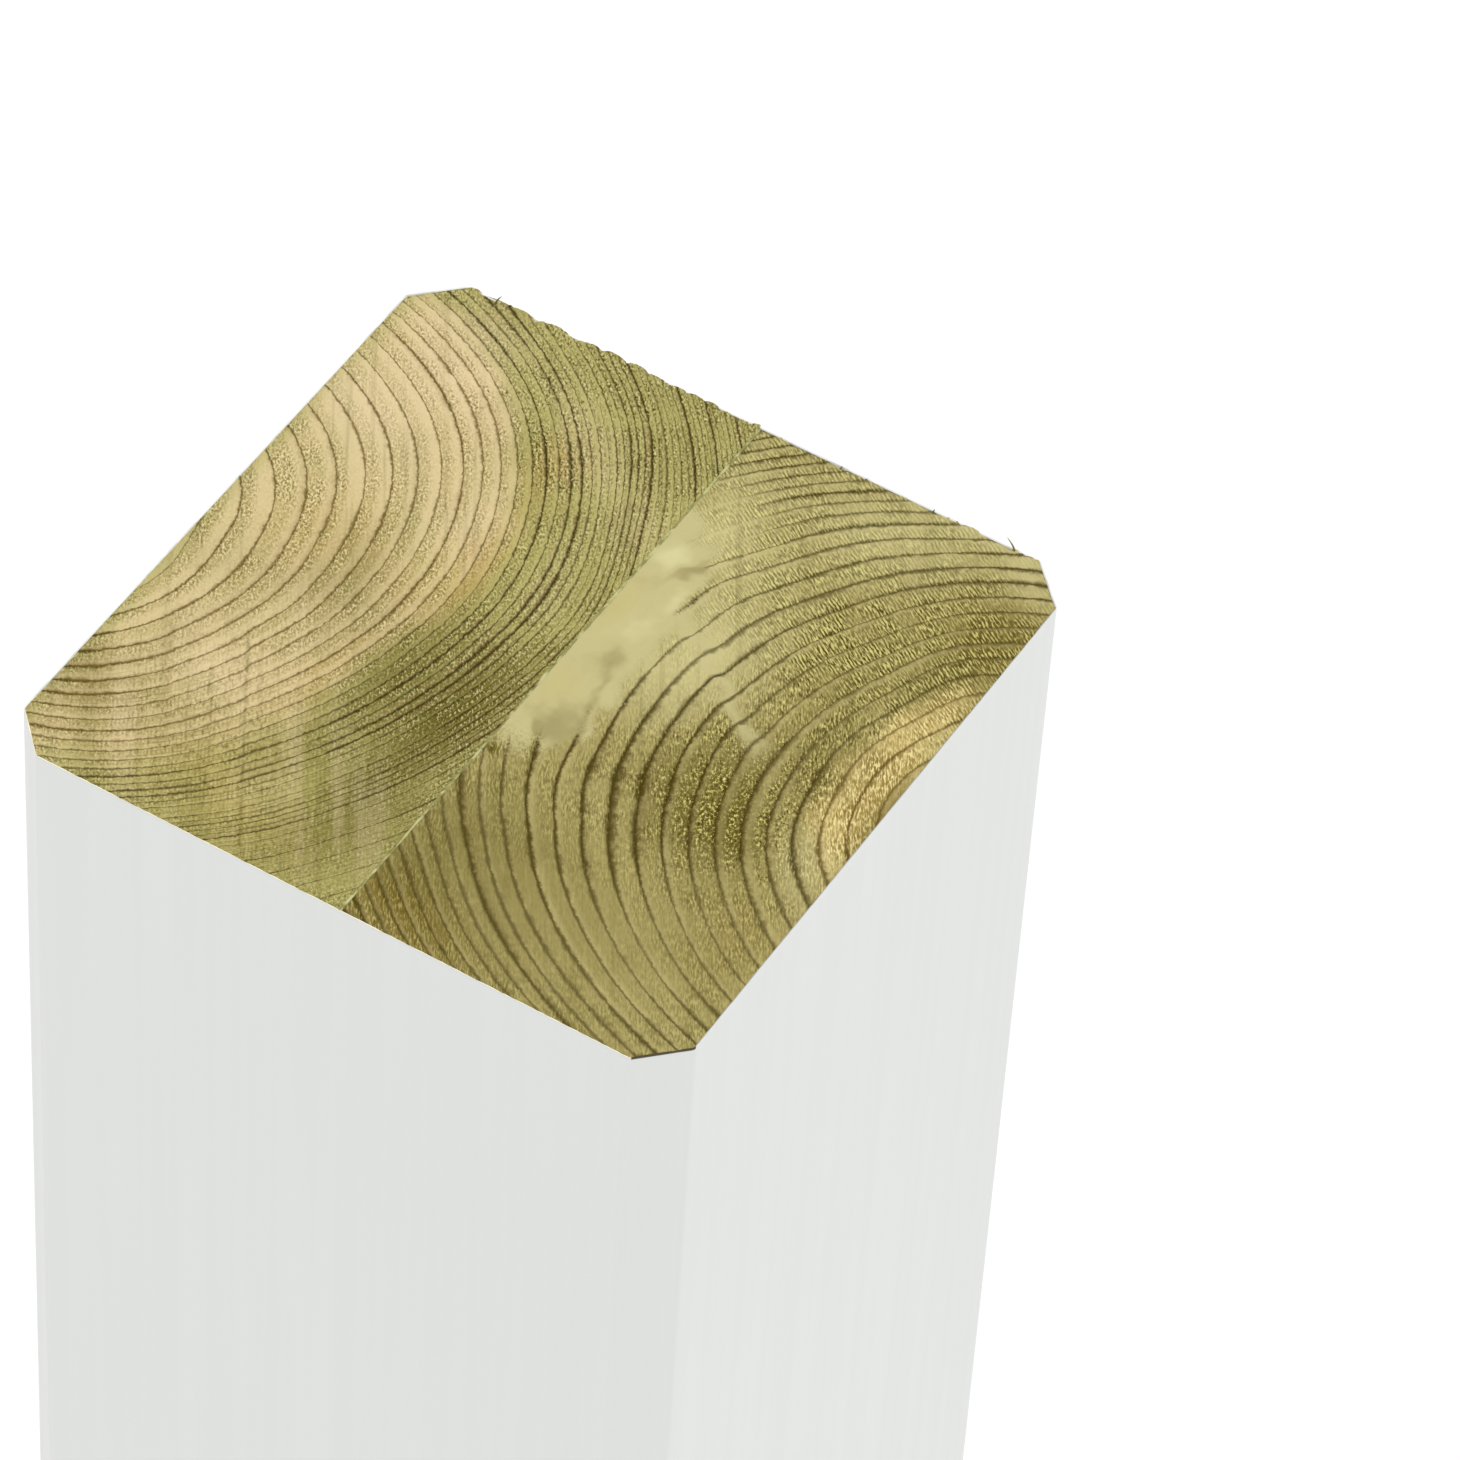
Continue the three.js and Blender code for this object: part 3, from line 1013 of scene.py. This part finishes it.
# %% [markdown]
# The wood's own colours come first. Treated sapwood is olive and the heart tan, some areas are
# warmer, browner or darker, and each ring goes from a dull early part to a pale late one, with a
# brown shade just before its line.

# %% Wood colour
def wood_colour(tree, looks, at):
    """Sapwood and heart, the broad areas over them, and the tone within each ring."""
    early = less(tree, at.lines["Late"])
    dark = calc(tree, "MAXIMUM", at.shade, 0.0)
    uneven = ramp(tree, noise(tree, at.spot, 130.0, 3.0), 0.4, 0.7, 0.0, 0.12)
    mottled = ramp(tree, noise(tree, at.spot, 85.0, 4.0, 0.65), 0.48, 0.66, 0.0, looks.mottle)
    pale = calc(tree, "MULTIPLY_ADD", dark, -0.35, looks.late_share)
    return layers(
        tree, mix(tree, at.heart, looks.sap, looks.heart),
        (ramp(tree, at.warm, 0.0, 1.2, 0.0, 0.8), looks.warm),
        (ramp(tree, at.warm, 0.0, -1.2, 0.0, 0.8), looks.amber),
        (dark, looks.shade),
        (uneven, looks.shade),
        (times(tree, at.heart, mottled), looks.late_sap),
        (times(tree, early, looks.early), looks.shade),
        (times(tree, at.lines["Late"], pale), mix(tree, at.heart, looks.late_sap, looks.late)),
        (times(tree, at.lines["Near"], 0.75), looks.near),
    )


print("wood colour ready")

# %% [markdown]
# Then the marks of the saw: torn fibres, partly their own colour and partly painted shade in their pits
# and a painted highlight on their tips, loose chips in the heart, a pale haze where the surface is
# crushed, woven rows that follow the rings, and the straight marks.

# %% Torn fibres and saw rows
HAZE = 0.6
WEAVE_PITCH = 0.72
ROW_WANDER = 0.7


def torn_fibres(tree, looks, at, base):
    """Torn fibres, with painted shade in their pits and a painted highlight on their tips, loose chips in
    the early wood of the heart, and the haze.
    """
    pit_shade = mix(tree, at.heart, looks.fleck_dark, looks.fleck_heart)
    tip_highlight = mix(tree, at.heart, mix(tree, at.grain, looks.light, looks.grain_light), looks.light_heart)
    chip = sawn_noise(tree, at.spot, 650.0, 1500.0, 2.0, 0.6)
    loose = times(tree, times(tree, at.heart, looks.chip), less(tree, at.lines["Late"]))
    return layers(
        tree, base,
        # Pits get painted shade and tips a painted highlight, over the fibres' own flecks.
        (times(tree, at.flecks["Dark"], at.torn), pit_shade),
        (times(tree, at.flecks["Light"], at.torn), tip_highlight),
        (times(tree, loose, ramp(tree, chip, 0.54, 0.66)), looks.light_heart),
        (times(tree, loose, ramp(tree, chip, 0.42, 0.3)), looks.fleck_heart),
        (calc(tree, "MAXIMUM", times(tree, at.shade, -HAZE), 0.0), looks.haze),
    )


def saw_rows(tree, looks, at, base):
    """Rows of tooth marks between dark seams that follow the rings, and the saw's straight marks."""
    saw = at.saw
    rows = times(tree, at.size, 1 / WEAVE_PITCH)
    rows = calc(tree, "MULTIPLY_ADD", noise(tree, at.spot, 110.0), ROW_WANDER, rows)
    row_number = {"W": calc(tree, "FLOOR", rows)}
    row_draw = add(tree, "ShaderNodeTexWhiteNoise", row_number, noise_dimensions="1D").outputs["Value"]
    off = calc(tree, "ABSOLUTE", calc(tree, "SUBTRACT", calc(tree, "FRACT", rows), 0.5))
    seam = times(tree, ramp(tree, off, 0.32, 0.48), at.weave)
    patchy = ramp(tree, noise(tree, at.spot, 300.0), 0.35, 0.6, 0.4, 1.0)
    row = times(tree, times(tree, less(tree, seam), at.weave), patchy)
    seam = times(tree, times(tree, seam, patchy), ramp(tree, row_draw, 0.0, 1.0, 0.15, 0.75))
    return layers(
        tree, base,
        (times(tree, row, ramp(tree, saw["Teeth"], -0.1, 0.7, 0.0, 0.65)), looks.shade),
        (times(tree, row, ramp(tree, saw["Teeth"], -0.1, -0.8, 0.0, 0.4)), looks.light),
        (seam, looks.shade),
        (ramp(tree, saw["Broad"], 0.5, 0.75, 0.0, 0.28), looks.shade),
        (times(tree, at.weave, ramp(tree, saw["Band"], 0.5, 0.68, 0.0, 0.25)), looks.shade),
        (times(tree, at.weave, ramp(tree, saw["Band"], 0.5, 0.34, 0.0, 0.25)), looks.haze),
        (ramp(tree, saw["Scratch"], 0.5, 0.75, 0.0, 0.1), looks.light),
        # painted shade along the saw's scars
        (times(tree, saw["ScarShade"], 0.5), looks.shade),
        (times(tree, at.streak, 0.75), looks.smear),
    )


print("torn fibres and saw rows ready")

# %% [markdown]
# The dark ring lines lie over the saw marks, paler where a fibre's tip stands up with its painted
# highlight, and the smear of resin with its grey and pale clouds hides all that is under it. Flecks,
# scratches and lines also give the fine bump.

# %% Sawn pine
CLOUD_SPREAD = 1.3
CLOUD_SHIFT = -0.58
TIP_HIGHLIGHT_ON_LINES = -0.5
FLECK_BUMP = 0.0002


def lines_and_smear(tree, looks, at, base):
    """Ring lines in the stain of their wood, then the clouded smear over them."""
    stain = mix(tree, at.heart, looks.line_sap, looks.line_heart)
    # Lines are paler under the tips' painted highlight.
    tips = times(tree, at.flecks["Light"], at.torn)
    kept = calc(tree, "MULTIPLY_ADD", tips, TIP_HIGHLIGHT_ON_LINES, looks.line_strength)
    drift = noise(tree, at.spot, 190.0, 3.0, 0.6)
    drift = calc(tree, "MULTIPLY_ADD", drift, CLOUD_SPREAD, CLOUD_SHIFT)
    cloud = calc(tree, "ADD", attribute(tree, "cloud")["Fac"], drift)
    resin = layers(
        tree, looks.smear,
        (ramp(tree, cloud, 0.05, 0.85), looks.smear_grey),
        (ramp(tree, cloud, 0.0, -0.9), looks.smear_pale),
        (ramp(tree, at.warm, 0.0, 1.0), looks.smear_warm),
    )
    return layers(tree, base, (times(tree, at.lines["Dark"], kept), stain), (at.smear, resin))


def sawn_pine(name, looks):
    """End grain of one lamella: the shared patterns with its own colours and line width."""
    material, tree, shader = new_material(name)
    at = end_values(tree, looks)
    base = wood_colour(tree, looks, at)
    base = torn_fibres(tree, looks, at, base)
    base = saw_rows(tree, looks, at, base)
    base = lines_and_smear(tree, looks, at, base)
    tree.links.new(base, shader.inputs["Base Color"])
    height = calc(tree, "MULTIPLY_ADD", at.flecks["Height"], at.torn, times(tree, at.saw["Scratch"], 0.12))
    height = calc(tree, "MULTIPLY_ADD", at.lines["Dark"], -0.25, height)
    bump = add(tree, "ShaderNodeBump", {"Height": height, "Strength": 0.5, "Distance": FLECK_BUMP})
    tree.links.new(bump.outputs[0], shader.inputs["Normal"])
    tree.links.new(ramp(tree, at.torn, 0.0, 0.8, 0.75, 0.95), shader.inputs["Roughness"])
    shader.inputs["Specular IOR Level"].default_value = 0.02
    return material


LEFT_LOOKS = SimpleNamespace(
    sap=colour(177, 169, 102), heart=colour(208, 188, 134),
    warm=colour(236, 209, 168), amber=colour(206, 168, 102),
    shade=colour(100, 92, 31), late=colour(217, 200, 156), late_sap=colour(183, 175, 111),
    late_share=0.4,
    light=colour(216, 207, 150), light_heart=colour(238, 223, 174), grain_light=colour(216, 207, 150),
    haze=colour(233, 210, 168), fleck_dark=colour(84, 77, 22), fleck_heart=colour(124, 106, 46),
    line_sap=colour(58, 50, 3), line_heart=colour(98, 78, 22), near=colour(160, 136, 92),
    line=0.18, heart_line=0.2, line_strength=0.97, early=0.15, smooth_from=0.45, heart_smooth=0.25,
    stretch=(2300.0, 3600.0, 0.0), chip=0.0, slant=0.0, mottle=0.45,
    smear=colour(203, 192, 140), smear_grey=colour(180, 169, 118), smear_pale=colour(214, 206, 152),
    smear_warm=colour(198, 184, 114),
)
RIGHT_LOOKS = SimpleNamespace(
    sap=colour(173, 160, 103), heart=colour(212, 190, 124),
    warm=colour(146, 118, 58), amber=colour(208, 174, 100),
    shade=colour(94, 83, 21), late=colour(214, 195, 134), late_sap=colour(181, 170, 115),
    late_share=0.5,
    light=colour(213, 203, 128), light_heart=colour(246, 230, 164), grain_light=colour(221, 210, 124),
    haze=colour(218, 208, 151), fleck_dark=colour(78, 67, 10), fleck_heart=colour(138, 110, 48),
    line_sap=colour(66, 54, 3), line_heart=colour(104, 80, 24), near=colour(122, 105, 62),
    line=0.4, heart_line=0.26, line_strength=0.94, early=0.2, smooth_from=0.5, heart_smooth=0.62,
    stretch=(1150.0, 4500.0, 0.0), chip=0.35, slant=1.0, mottle=0.0,
    smear=colour(193, 184, 132), smear_grey=colour(162, 153, 104), smear_pale=colour(210, 203, 150),
    smear_warm=colour(196, 181, 110),
)
left_pine = sawn_pine("sawn pine left", LEFT_LOOKS)
right_pine = sawn_pine("sawn pine right", RIGHT_LOOKS)
print("sawn pine:", len(left_pine.node_tree.nodes), "nodes")

# %% [markdown]
# ## The two lamellas
#
# Each lamella is one closed surface: a fine grid over the sawn top, a coarser one over the foot,
# and plain walls between their edges. Columns run from the lowest to the highest x and rows from
# the front to the back, squeezed in where the chamfers narrow the section. The walls start at a
# collar just under the top, so that the burr can lean out over the paint.

# %% Build a lamella
TOP_STEP = 0.25
COLLAR_DEPTH = 0.6
FOOT_THINNING = 2
MAP_MARGIN = 0.01
MAP_TOP_SIZE = 92
MAP_FOOT_SIZE = 125
MAP_RIGHT_FROM = 0.54
MAP_WALL_WIDTH = 0.44
MAP_WALL_FROM = 0.76
MAP_WALL_HEIGHT = 0.22
MAP_LIP_HEIGHT = 1.02
MAP_WAY_ROUND = 1.01
DIAGONAL = math.sqrt(0.5)


def end_rows():
    """Y of every row, with rows exactly on the corners of the chamfers."""
    flat = WOOD_HALF - WOOD_CHAMFER
    corner_steps = 2 * round(WOOD_CHAMFER / TOP_STEP / 2)
    flat_steps = 2 * round(2 * flat / TOP_STEP / 2)
    front = np.linspace(-WOOD_HALF, -flat, corner_steps + 1)
    middle = np.linspace(-flat, flat, flat_steps + 1)
    return np.concatenate([front[:-1], middle, -front[-2::-1]])


def end_grid(lamella):
    """X and Y over a lamella's section: each row is divided evenly from face to face."""
    joint = JOINT_LEFT if lamella.side < 0 else JOINT_RIGHT
    rows = end_rows()
    outer = np.minimum(WOOD_HALF, 2 * WOOD_HALF - WOOD_CHAMFER - np.abs(rows))
    share = np.linspace(0, 1, 2 * round((WOOD_HALF - lamella.side * joint) / TOP_STEP / 2) + 1)
    low, high = (-outer, joint + 0 * outer) if lamella.side < 0 else (joint + 0 * outer, outer)
    x = low[:, None] + (high - low)[:, None] * share
    return x, np.repeat(rows[:, None], len(share), 1)


def wall_faces(upper, lower):
    """Triangles between an upper edge loop and a lower one with half as many vertices."""
    a, b, c = upper[0::2], upper[1::2], np.roll(upper, -2)[0::2]
    d, e = lower, np.roll(lower, -1)
    return np.concatenate([np.stack(t, 1) for t in ((a, d, b), (b, d, e), (b, e, c))])


def bake_map(piece, x, y, is_top, is_foot, round_share, height_share):
    """A flat map: the sawn top takes about half of the picture, the foot less and the walls little."""
    right, up = x - x[is_top].min(), y + WOOD_HALF
    u = np.where(is_top, MAP_MARGIN + right / MAP_TOP_SIZE, MAP_RIGHT_FROM + right / MAP_FOOT_SIZE)
    v = MAP_MARGIN + np.where(is_top, up / MAP_TOP_SIZE, up / MAP_FOOT_SIZE)
    u = np.where(is_top | is_foot, u, MAP_RIGHT_FROM + MAP_WALL_WIDTH * round_share)
    v = np.where(is_top | is_foot, v, MAP_WALL_FROM + MAP_WALL_HEIGHT * height_share)
    layer = piece.data.uv_layers.new(name="OFBake")
    layer.data.foreach_set("uv", np.stack([u, v], 1).astype(np.float32).ravel())


def build_lamella(name, lamella, material):
    """One lamella as a closed surface, with its fields as attributes and a map for baking."""
    x, y = end_grid(lamella)
    rows, columns = x.shape
    field = end_fields(x, y, lamella)
    burr, lean = back_burr(x, y, field.number, lamella)
    z = TOP + sawn_height(x, y, field, lamella.seed) + BURR_RISE * burr
    out_x = -BURR_OUT * burr * lean * DIAGONAL
    out_y = BURR_OUT * burr * (1 - lean * (1 - DIAGONAL))
    top = np.stack([x + out_x, y + out_y, z], -1).reshape(-1, 3)

    foot_x, foot_y = (over[::FOOT_THINNING, ::FOOT_THINNING] for over in (x, y))
    foot_field = end_fields(foot_x, foot_y, lamella, foot=True)
    lift = REST_DEPTH + 2 * SWEEP_DEPTH
    foot_height = sawn_height(foot_x, foot_y, foot_field, lamella.seed + 50)
    foot_z = np.clip(lift - foot_height - REST_DEPTH, 0, None)
    inside = rim_distance(foot_x, foot_y) > RIM_REACH
    foot = np.stack([foot_x, foot_y, np.where(inside, foot_z, 0.0)], -1).reshape(-1, 3)

    rim = grid_rim(rows, columns)
    flat_top = np.stack([x, y, np.full_like(x, TOP - COLLAR_DEPTH)], -1).reshape(-1, 3)
    collar = flat_top[rim]
    points = np.concatenate([top, collar, foot])
    first_collar, first_foot = len(top), len(top) + len(collar)
    collar_loop = first_collar + np.arange(len(rim))
    foot_rows, foot_columns = foot_x.shape
    foot_loop = grid_rim(foot_rows, foot_columns, first_foot)
    lip = np.stack([rim, collar_loop, np.roll(collar_loop, -1), np.roll(rim, -1)], 1)
    faces = [
        grid_quads(rows, columns),
        grid_quads(foot_rows, foot_columns, first_foot)[:, ::-1],
        lip,
        wall_faces(collar_loop, foot_loop),
    ]
    piece = solid(name, points, faces, material)
    store_fields(piece, field, foot_field, rim)
    map_lamella(piece, points, faces, rim, collar_loop, foot_loop)
    return piece


def store_fields(piece, field, foot_field, rim):
    """Attributes for the material, for the top, the collar that repeats its edge, and the foot."""
    def over(label):
        upper = getattr(field, label).ravel()
        return np.concatenate([upper, upper[rim], getattr(foot_field, label).ravel()])

    kept = {
        "rings": ("number", "width", "size"),
        "tones": ("heart", "shade", "warm", "sparkle"),
        "marks": ("smear", "streak", "bold", "weave"),
    }
    for name, labels in kept.items():
        keep_values(piece, name, np.stack([over(label) for label in labels], 1))
    for name in ("grain", "cloud"):
        keep_values(piece, name, over(name))


def map_lamella(piece, points, faces, rim, collar_loop, foot_loop):
    """Fill the bake map: corners of top faces, foot faces and walls each go to their own part."""
    corners = np.concatenate([f.ravel() for f in faces])
    kind = np.repeat(np.arange(len(faces)), [f.size for f in faces])
    share = np.zeros(len(points))
    for loop in (rim, collar_loop, foot_loop):
        share[loop] = np.arange(len(loop)) / len(loop)
    height = np.where(kind == 2, MAP_LIP_HEIGHT, points[corners, 2] / TOP)
    around = share[corners]
    wrapped = np.repeat(spans_start(faces, share), counts_of(faces)) & (around < 0.5)
    around = np.where(wrapped, around + 1, around) / MAP_WAY_ROUND
    bake_map(piece, points[corners, 0], points[corners, 1], kind == 0, kind == 1, around, height)


def spans_start(faces, share):
    """True for each face that spans the place where the way round starts again."""
    return np.concatenate([np.ptp(share[f], axis=1) > 0.5 for f in faces])


lamella_left = build_lamella("end_grain_left", LEFT, left_pine)
lamella_right = build_lamella("end_grain_right", RIGHT, right_pine)
for piece, node in ((lamella_left, "lamella_left"), (lamella_right, "lamella_right")):
    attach(piece, "root")
    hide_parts(node)

# %% [markdown]
# ## The glue line
#
# The glue is a film a third of a millimetre thick. On the sawn end it shows as a thin pale line,
# a little uneven in height where the saw smeared it. It is a narrow band of rows along the joint,
# closed underneath.

# %% Glue line
GLUE_ROWS = 361
GLUE_COLUMNS = 4
GLUE_SINK = 0.05
GLUE_PALE = colour(184, 182, 121)
GLUE_SPECK = colour(138, 134, 74)


def build_glue(material):
    """A narrow grid on top, the same grid at the foot turned over, and walls between their rims."""
    across = np.linspace(JOINT_LEFT, JOINT_RIGHT, GLUE_COLUMNS)
    x, y = np.meshgrid(across, np.linspace(-WOOD_HALF, WOOD_HALF, GLUE_ROWS))
    sink = GLUE_SINK * (1 + soft_noise(x, y, 3.0, 300)) + 0.03 * soft_noise(x, y, 0.8, 301)
    top = np.stack([x, y, TOP - 0.5 * REST_DEPTH - sink], -1).reshape(-1, 3)
    foot = np.stack([x, y, 0 * x], -1).reshape(-1, 3)
    upper, lower = grid_rim(GLUE_ROWS, GLUE_COLUMNS), grid_rim(GLUE_ROWS, GLUE_COLUMNS, len(top))
    walls = np.stack([upper, lower, np.roll(lower, -1), np.roll(upper, -1)], 1)
    faces = [
        grid_quads(GLUE_ROWS, GLUE_COLUMNS),
        grid_quads(GLUE_ROWS, GLUE_COLUMNS, len(top))[:, ::-1],
        walls,
    ]
    return solid("glue_film", np.concatenate([top, foot]), faces, material)


def cured_glue():
    """Pale film with darker specks where fibres cross it."""
    material, tree, shader = new_material("cured glue")
    speck = ramp(tree, noise(tree, object_spot(tree), 500.0, 3.0), 0.4, 0.58)
    tree.links.new(mix(tree, speck, GLUE_PALE, GLUE_SPECK), shader.inputs["Base Color"])
    tree.links.new(ramp(tree, speck, 0.0, 1.0, 0.5, 0.75), shader.inputs["Roughness"])
    return material


glue = build_glue(cured_glue())
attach(glue, "root")
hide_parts("glue_line")

# %% [markdown]
# ## The paint
#
# The paint is a skin round the long faces. It is a profile, up the outside and down the inside,
# carried round the chamfered square. The arrises are eased a little, as paint and planer leave
# them, and the long grain of the wood shows through as faint ripples that run up the post.

# %% Paint coat
ARRIS_EASING = 0.8
ARC_STEPS = 4
FACE_STEPS = 120
CHAMFER_STEPS = 8
HEIGHT_STEPS = 104
LIP_LEVELS = np.array((2.0, 1.0, 0.5, 0.2, 0.06, 0.0))
PAINT_RIPPLE = 0.012
LIP_EASING = 0.05
# Sides whose cut lip is coloured cream-white as a painted highlight.
LIT_LIP_SIDES = (5, 6)
# Side whose top edge carries a dark line, and a side where that line is fainter.
DARK_EDGE_SIDE = 7
FAINTER_EDGE_SIDE = 0
PAINT = SimpleNamespace(
    white=(0.85, 0.864, 0.84, 1), grain=(0.815, 0.828, 0.808, 1), cloud=(0.83, 0.845, 0.832, 1),
    lip=colour(252, 245, 220), dark_edge_tone=colour(70, 58, 28),
)


def painted_outline():
    """Points, outward headings and side numbers round the chamfered square with eased arrises.

    Side i faces the heading 45 i degrees, at its own distance from the middle. An arris is an arc
    of the easing's radius about the point where both sides, moved in by that radius, cross.
    """
    heading = np.radians(45 * np.arange(8))
    chamfer_reach = (2 * PAINT_HALF - CHAMFER) / math.sqrt(2)
    reach = np.where(np.arange(8) % 2 == 0, PAINT_HALF, chamfer_reach) - ARRIS_EASING
    normal = np.stack([np.cos(heading), np.sin(heading)], 1)
    ahead = np.roll(normal, -1, 0)
    cross = normal[:, 0] * ahead[:, 1] - normal[:, 1] * ahead[:, 0]
    reach_ahead = np.roll(reach, -1)
    centre_x = (reach * ahead[:, 1] - reach_ahead * normal[:, 1]) / cross
    centre_y = (reach_ahead * normal[:, 0] - reach * ahead[:, 0]) / cross
    centre = np.stack([centre_x, centre_y], 1)
    points, headings, sides = [], [], []
    for i in range(8):
        steps = FACE_STEPS if i % 2 == 0 else CHAMFER_STEPS
        share = np.linspace(0, 1, steps, endpoint=False)[:, None]
        start = centre[i - 1] + ARRIS_EASING * normal[i]
        end = centre[i] + ARRIS_EASING * normal[i]
        turn = heading[i] + np.radians(45) * np.linspace(0, 1, ARC_STEPS, endpoint=False)
        arc = centre[i] + ARRIS_EASING * np.stack([np.cos(turn), np.sin(turn)], 1)
        points += [start + (end - start) * share, arc]
        headings += [np.full(steps, heading[i]), turn]
        sides += [np.full(steps + ARC_STEPS, i)]
    return np.concatenate(points), np.concatenate(headings), np.concatenate(sides)


def build_paint(material):
    """The film: outside from foot to top, over the lip, and back down the inside."""
    outline, heading, side = painted_outline()
    normal = np.stack([np.cos(heading), np.sin(heading)], 1)
    levels = np.concatenate([np.linspace(0, TOP - 4, HEIGHT_STEPS), TOP - LIP_LEVELS])
    way = np.arange(len(outline)) * (8 * PAINT_HALF / len(outline))
    s, z = np.meshgrid(way, levels)
    ripple = soft_noise(s, z / 60, 3.0, 400) + 0.7 * soft_noise(s, z / 40, 1.3, 401)
    ripple = ripple + soft_noise(s, z / 25, 14.0, 402)
    sink = PAINT_RIPPLE * np.clip(0.4 + 0.35 * ripple, 0, 2)
    sink = sink + LIP_EASING * (np.exp(-(TOP - z) / 0.12) + np.exp(-z / 0.5))
    outside = np.concatenate([outline - sink[k][:, None] * normal for k in range(len(levels))])
    outside = np.column_stack([outside, z.ravel()])
    inner = outline - FILM * normal
    chip = 0.05 * soft_noise(way, 0 * way, 2.0, 403) + 0.03 * soft_noise(way, 0 * way, 0.7, 404)
    inside_top = np.column_stack([inner, TOP - LIP_EASING - np.abs(chip)])
    inside_foot = np.column_stack([inner, 0 * way])
    points = np.concatenate([outside, inside_top, inside_foot])
    rings = len(levels) + 2
    number = np.arange(rings * len(outline)).reshape(rings, len(outline))
    turned = np.roll(number, -1, 1)
    above, above_turned = np.roll(number, -1, 0), np.roll(turned, -1, 0)
    quads = np.stack([number, turned, above_turned, above], -1).reshape(-1, 4)
    piece = solid("paint_film", points, [quads], material)
    rim, dark_edge = np.zeros((2, rings, len(outline)))
    last = len(levels) - 1
    # Painted highlight on the cut lip of the chosen sides.
    rim[last:last + 2] = np.isin(side, LIT_LIP_SIDES)
    # Dark line at the top edge of one chamfer, fainter on one face.
    dark_edge[last - 2:last + 2] = side == DARK_EDGE_SIDE
    dark_edge[last:last + 2] += 0.6 * (side == FAINTER_EDGE_SIDE)
    keep_values(piece, "rim", rim.ravel())
    keep_values(piece, "dark_edge", dark_edge.ravel())
    return piece


def white_paint():
    """Satin white over planed wood, with the cut lip on two sides brightened as a painted highlight, and a
    dark line along the top edge of one chamfer, fainter on one face.
    """
    material, tree, shader = new_material("white paint")
    spot = object_spot(tree)
    upright = {0: spot, 1: (1.0, 1.0, 0.02)}
    upright = add(tree, "ShaderNodeVectorMath", upright, operation="MULTIPLY").outputs[0]
    grain = noise(tree, upright, 420.0, 3.0)
    base = layers(
        tree, PAINT.white,
        (ramp(tree, grain, 0.35, 0.7, 0.0, 0.2), PAINT.grain),
        (ramp(tree, noise(tree, spot, 9.0, 2.0), 0.4, 0.7, 0.0, 0.35), PAINT.cloud),
        # Painted highlight along the cut lip.
        (ramp(tree, attribute(tree, "rim")["Fac"], 0.4, 0.9), PAINT.lip),
        # Dark line along the top edge of one chamfer, fainter on one face.
        (ramp(tree, attribute(tree, "dark_edge")["Fac"], 0.3, 0.9), PAINT.dark_edge_tone),
    )
    tree.links.new(base, shader.inputs["Base Color"])
    tree.links.new(ramp(tree, grain, 0.3, 0.7, 0.42, 0.55), shader.inputs["Roughness"])
    bump = add(tree, "ShaderNodeBump", {"Height": grain, "Strength": 0.06, "Distance": 0.0003})
    tree.links.new(bump.outputs[0], shader.inputs["Normal"])
    return material


paint = build_paint(white_paint())
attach(paint, "root")
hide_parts("paint_coat")

# %% [markdown]
# ## Splinters on the back edge
#
# Where the blade came out it left a few loose splinters. Each is a thin tapered tube: a small
# ring carried along a bent path and drawn to a point. It is given by its x, its length and
# thickness, and how much it leans along the edge and lifts.

# %% Splinters
SPLINTERS = [
    (-35.4, 1.6, 0.16, 0.5, 0.9),
    (36.4, 1.7, 0.17, -0.9, 0.6),
    (25.2, 0.7, 0.14, 0.3, 0.6),
    (-28.0, 0.5, 0.12, -0.2, 0.7),
    (12.6, 0.5, 0.12, 0.4, 0.5),
]
SPLINTER_SIDES = 8
SPLINTER_RINGS = 10
TUBE_SIZE = SPLINTER_RINGS * SPLINTER_SIDES
SPLINTER_ROOT = 0.5
SPLINTER_INSET = 0.25
SPLINTER_TIP = 0.012
FIBRE_LIGHT = colour(150, 140, 80)
FIBRE_DARK = colour(98, 88, 42)


def splinter(at_x, length, thick, lean, lift):
    """Points of one splinter: rings of falling radius along a path that bends out and up."""
    t = np.linspace(0, 1, SPLINTER_RINGS)
    x = at_x + lean * t ** 2 * length
    y = WOOD_HALF - SPLINTER_INSET + (1 - lift) * t * length
    z = TOP - SPLINTER_ROOT + (SPLINTER_ROOT + lift * length) * t
    path = np.stack([x, y, z], 1)
    radius = thick * (1 - t) ** 0.6 + SPLINTER_TIP
    turn = np.linspace(0, 2 * np.pi, SPLINTER_SIDES, endpoint=False)
    ring = np.stack([np.cos(turn), np.sin(turn), 0 * turn], 1)
    return (path[:, None, :] + radius[:, None, None] * ring).reshape(-1, 3)


def tube_faces(first):
    """Side faces and the two end caps of one splinter."""
    number = first + np.arange(TUBE_SIZE).reshape(SPLINTER_RINGS, SPLINTER_SIDES)
    turned = np.roll(number, -1, 1)
    sides = np.stack([number[:-1], turned[:-1], turned[1:], number[1:]], -1).reshape(-1, 4)
    return sides, np.stack([number[0, ::-1], number[-1]])


def torn_wood():
    """Loose fibre: dull olive, mottled lighter and darker."""
    material, tree, shader = new_material("torn wood")
    streak = noise(tree, object_spot(tree), 2500.0, 2.0)
    tree.links.new(mix(tree, streak, FIBRE_LIGHT, FIBRE_DARK), shader.inputs["Base Color"])
    shader.inputs["Roughness"].default_value = 0.9
    return material


tubes = np.concatenate([splinter(*s) for s in SPLINTERS])
sides, caps = zip(*[tube_faces(first) for first in range(0, len(tubes), TUBE_SIZE)])
splinters = solid("splinters", tubes, [np.concatenate(sides), np.concatenate(caps)], torn_wood())
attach(splinters, "root")

# %% [markdown]
# The finished model may stand only a little proud of the CAD box.
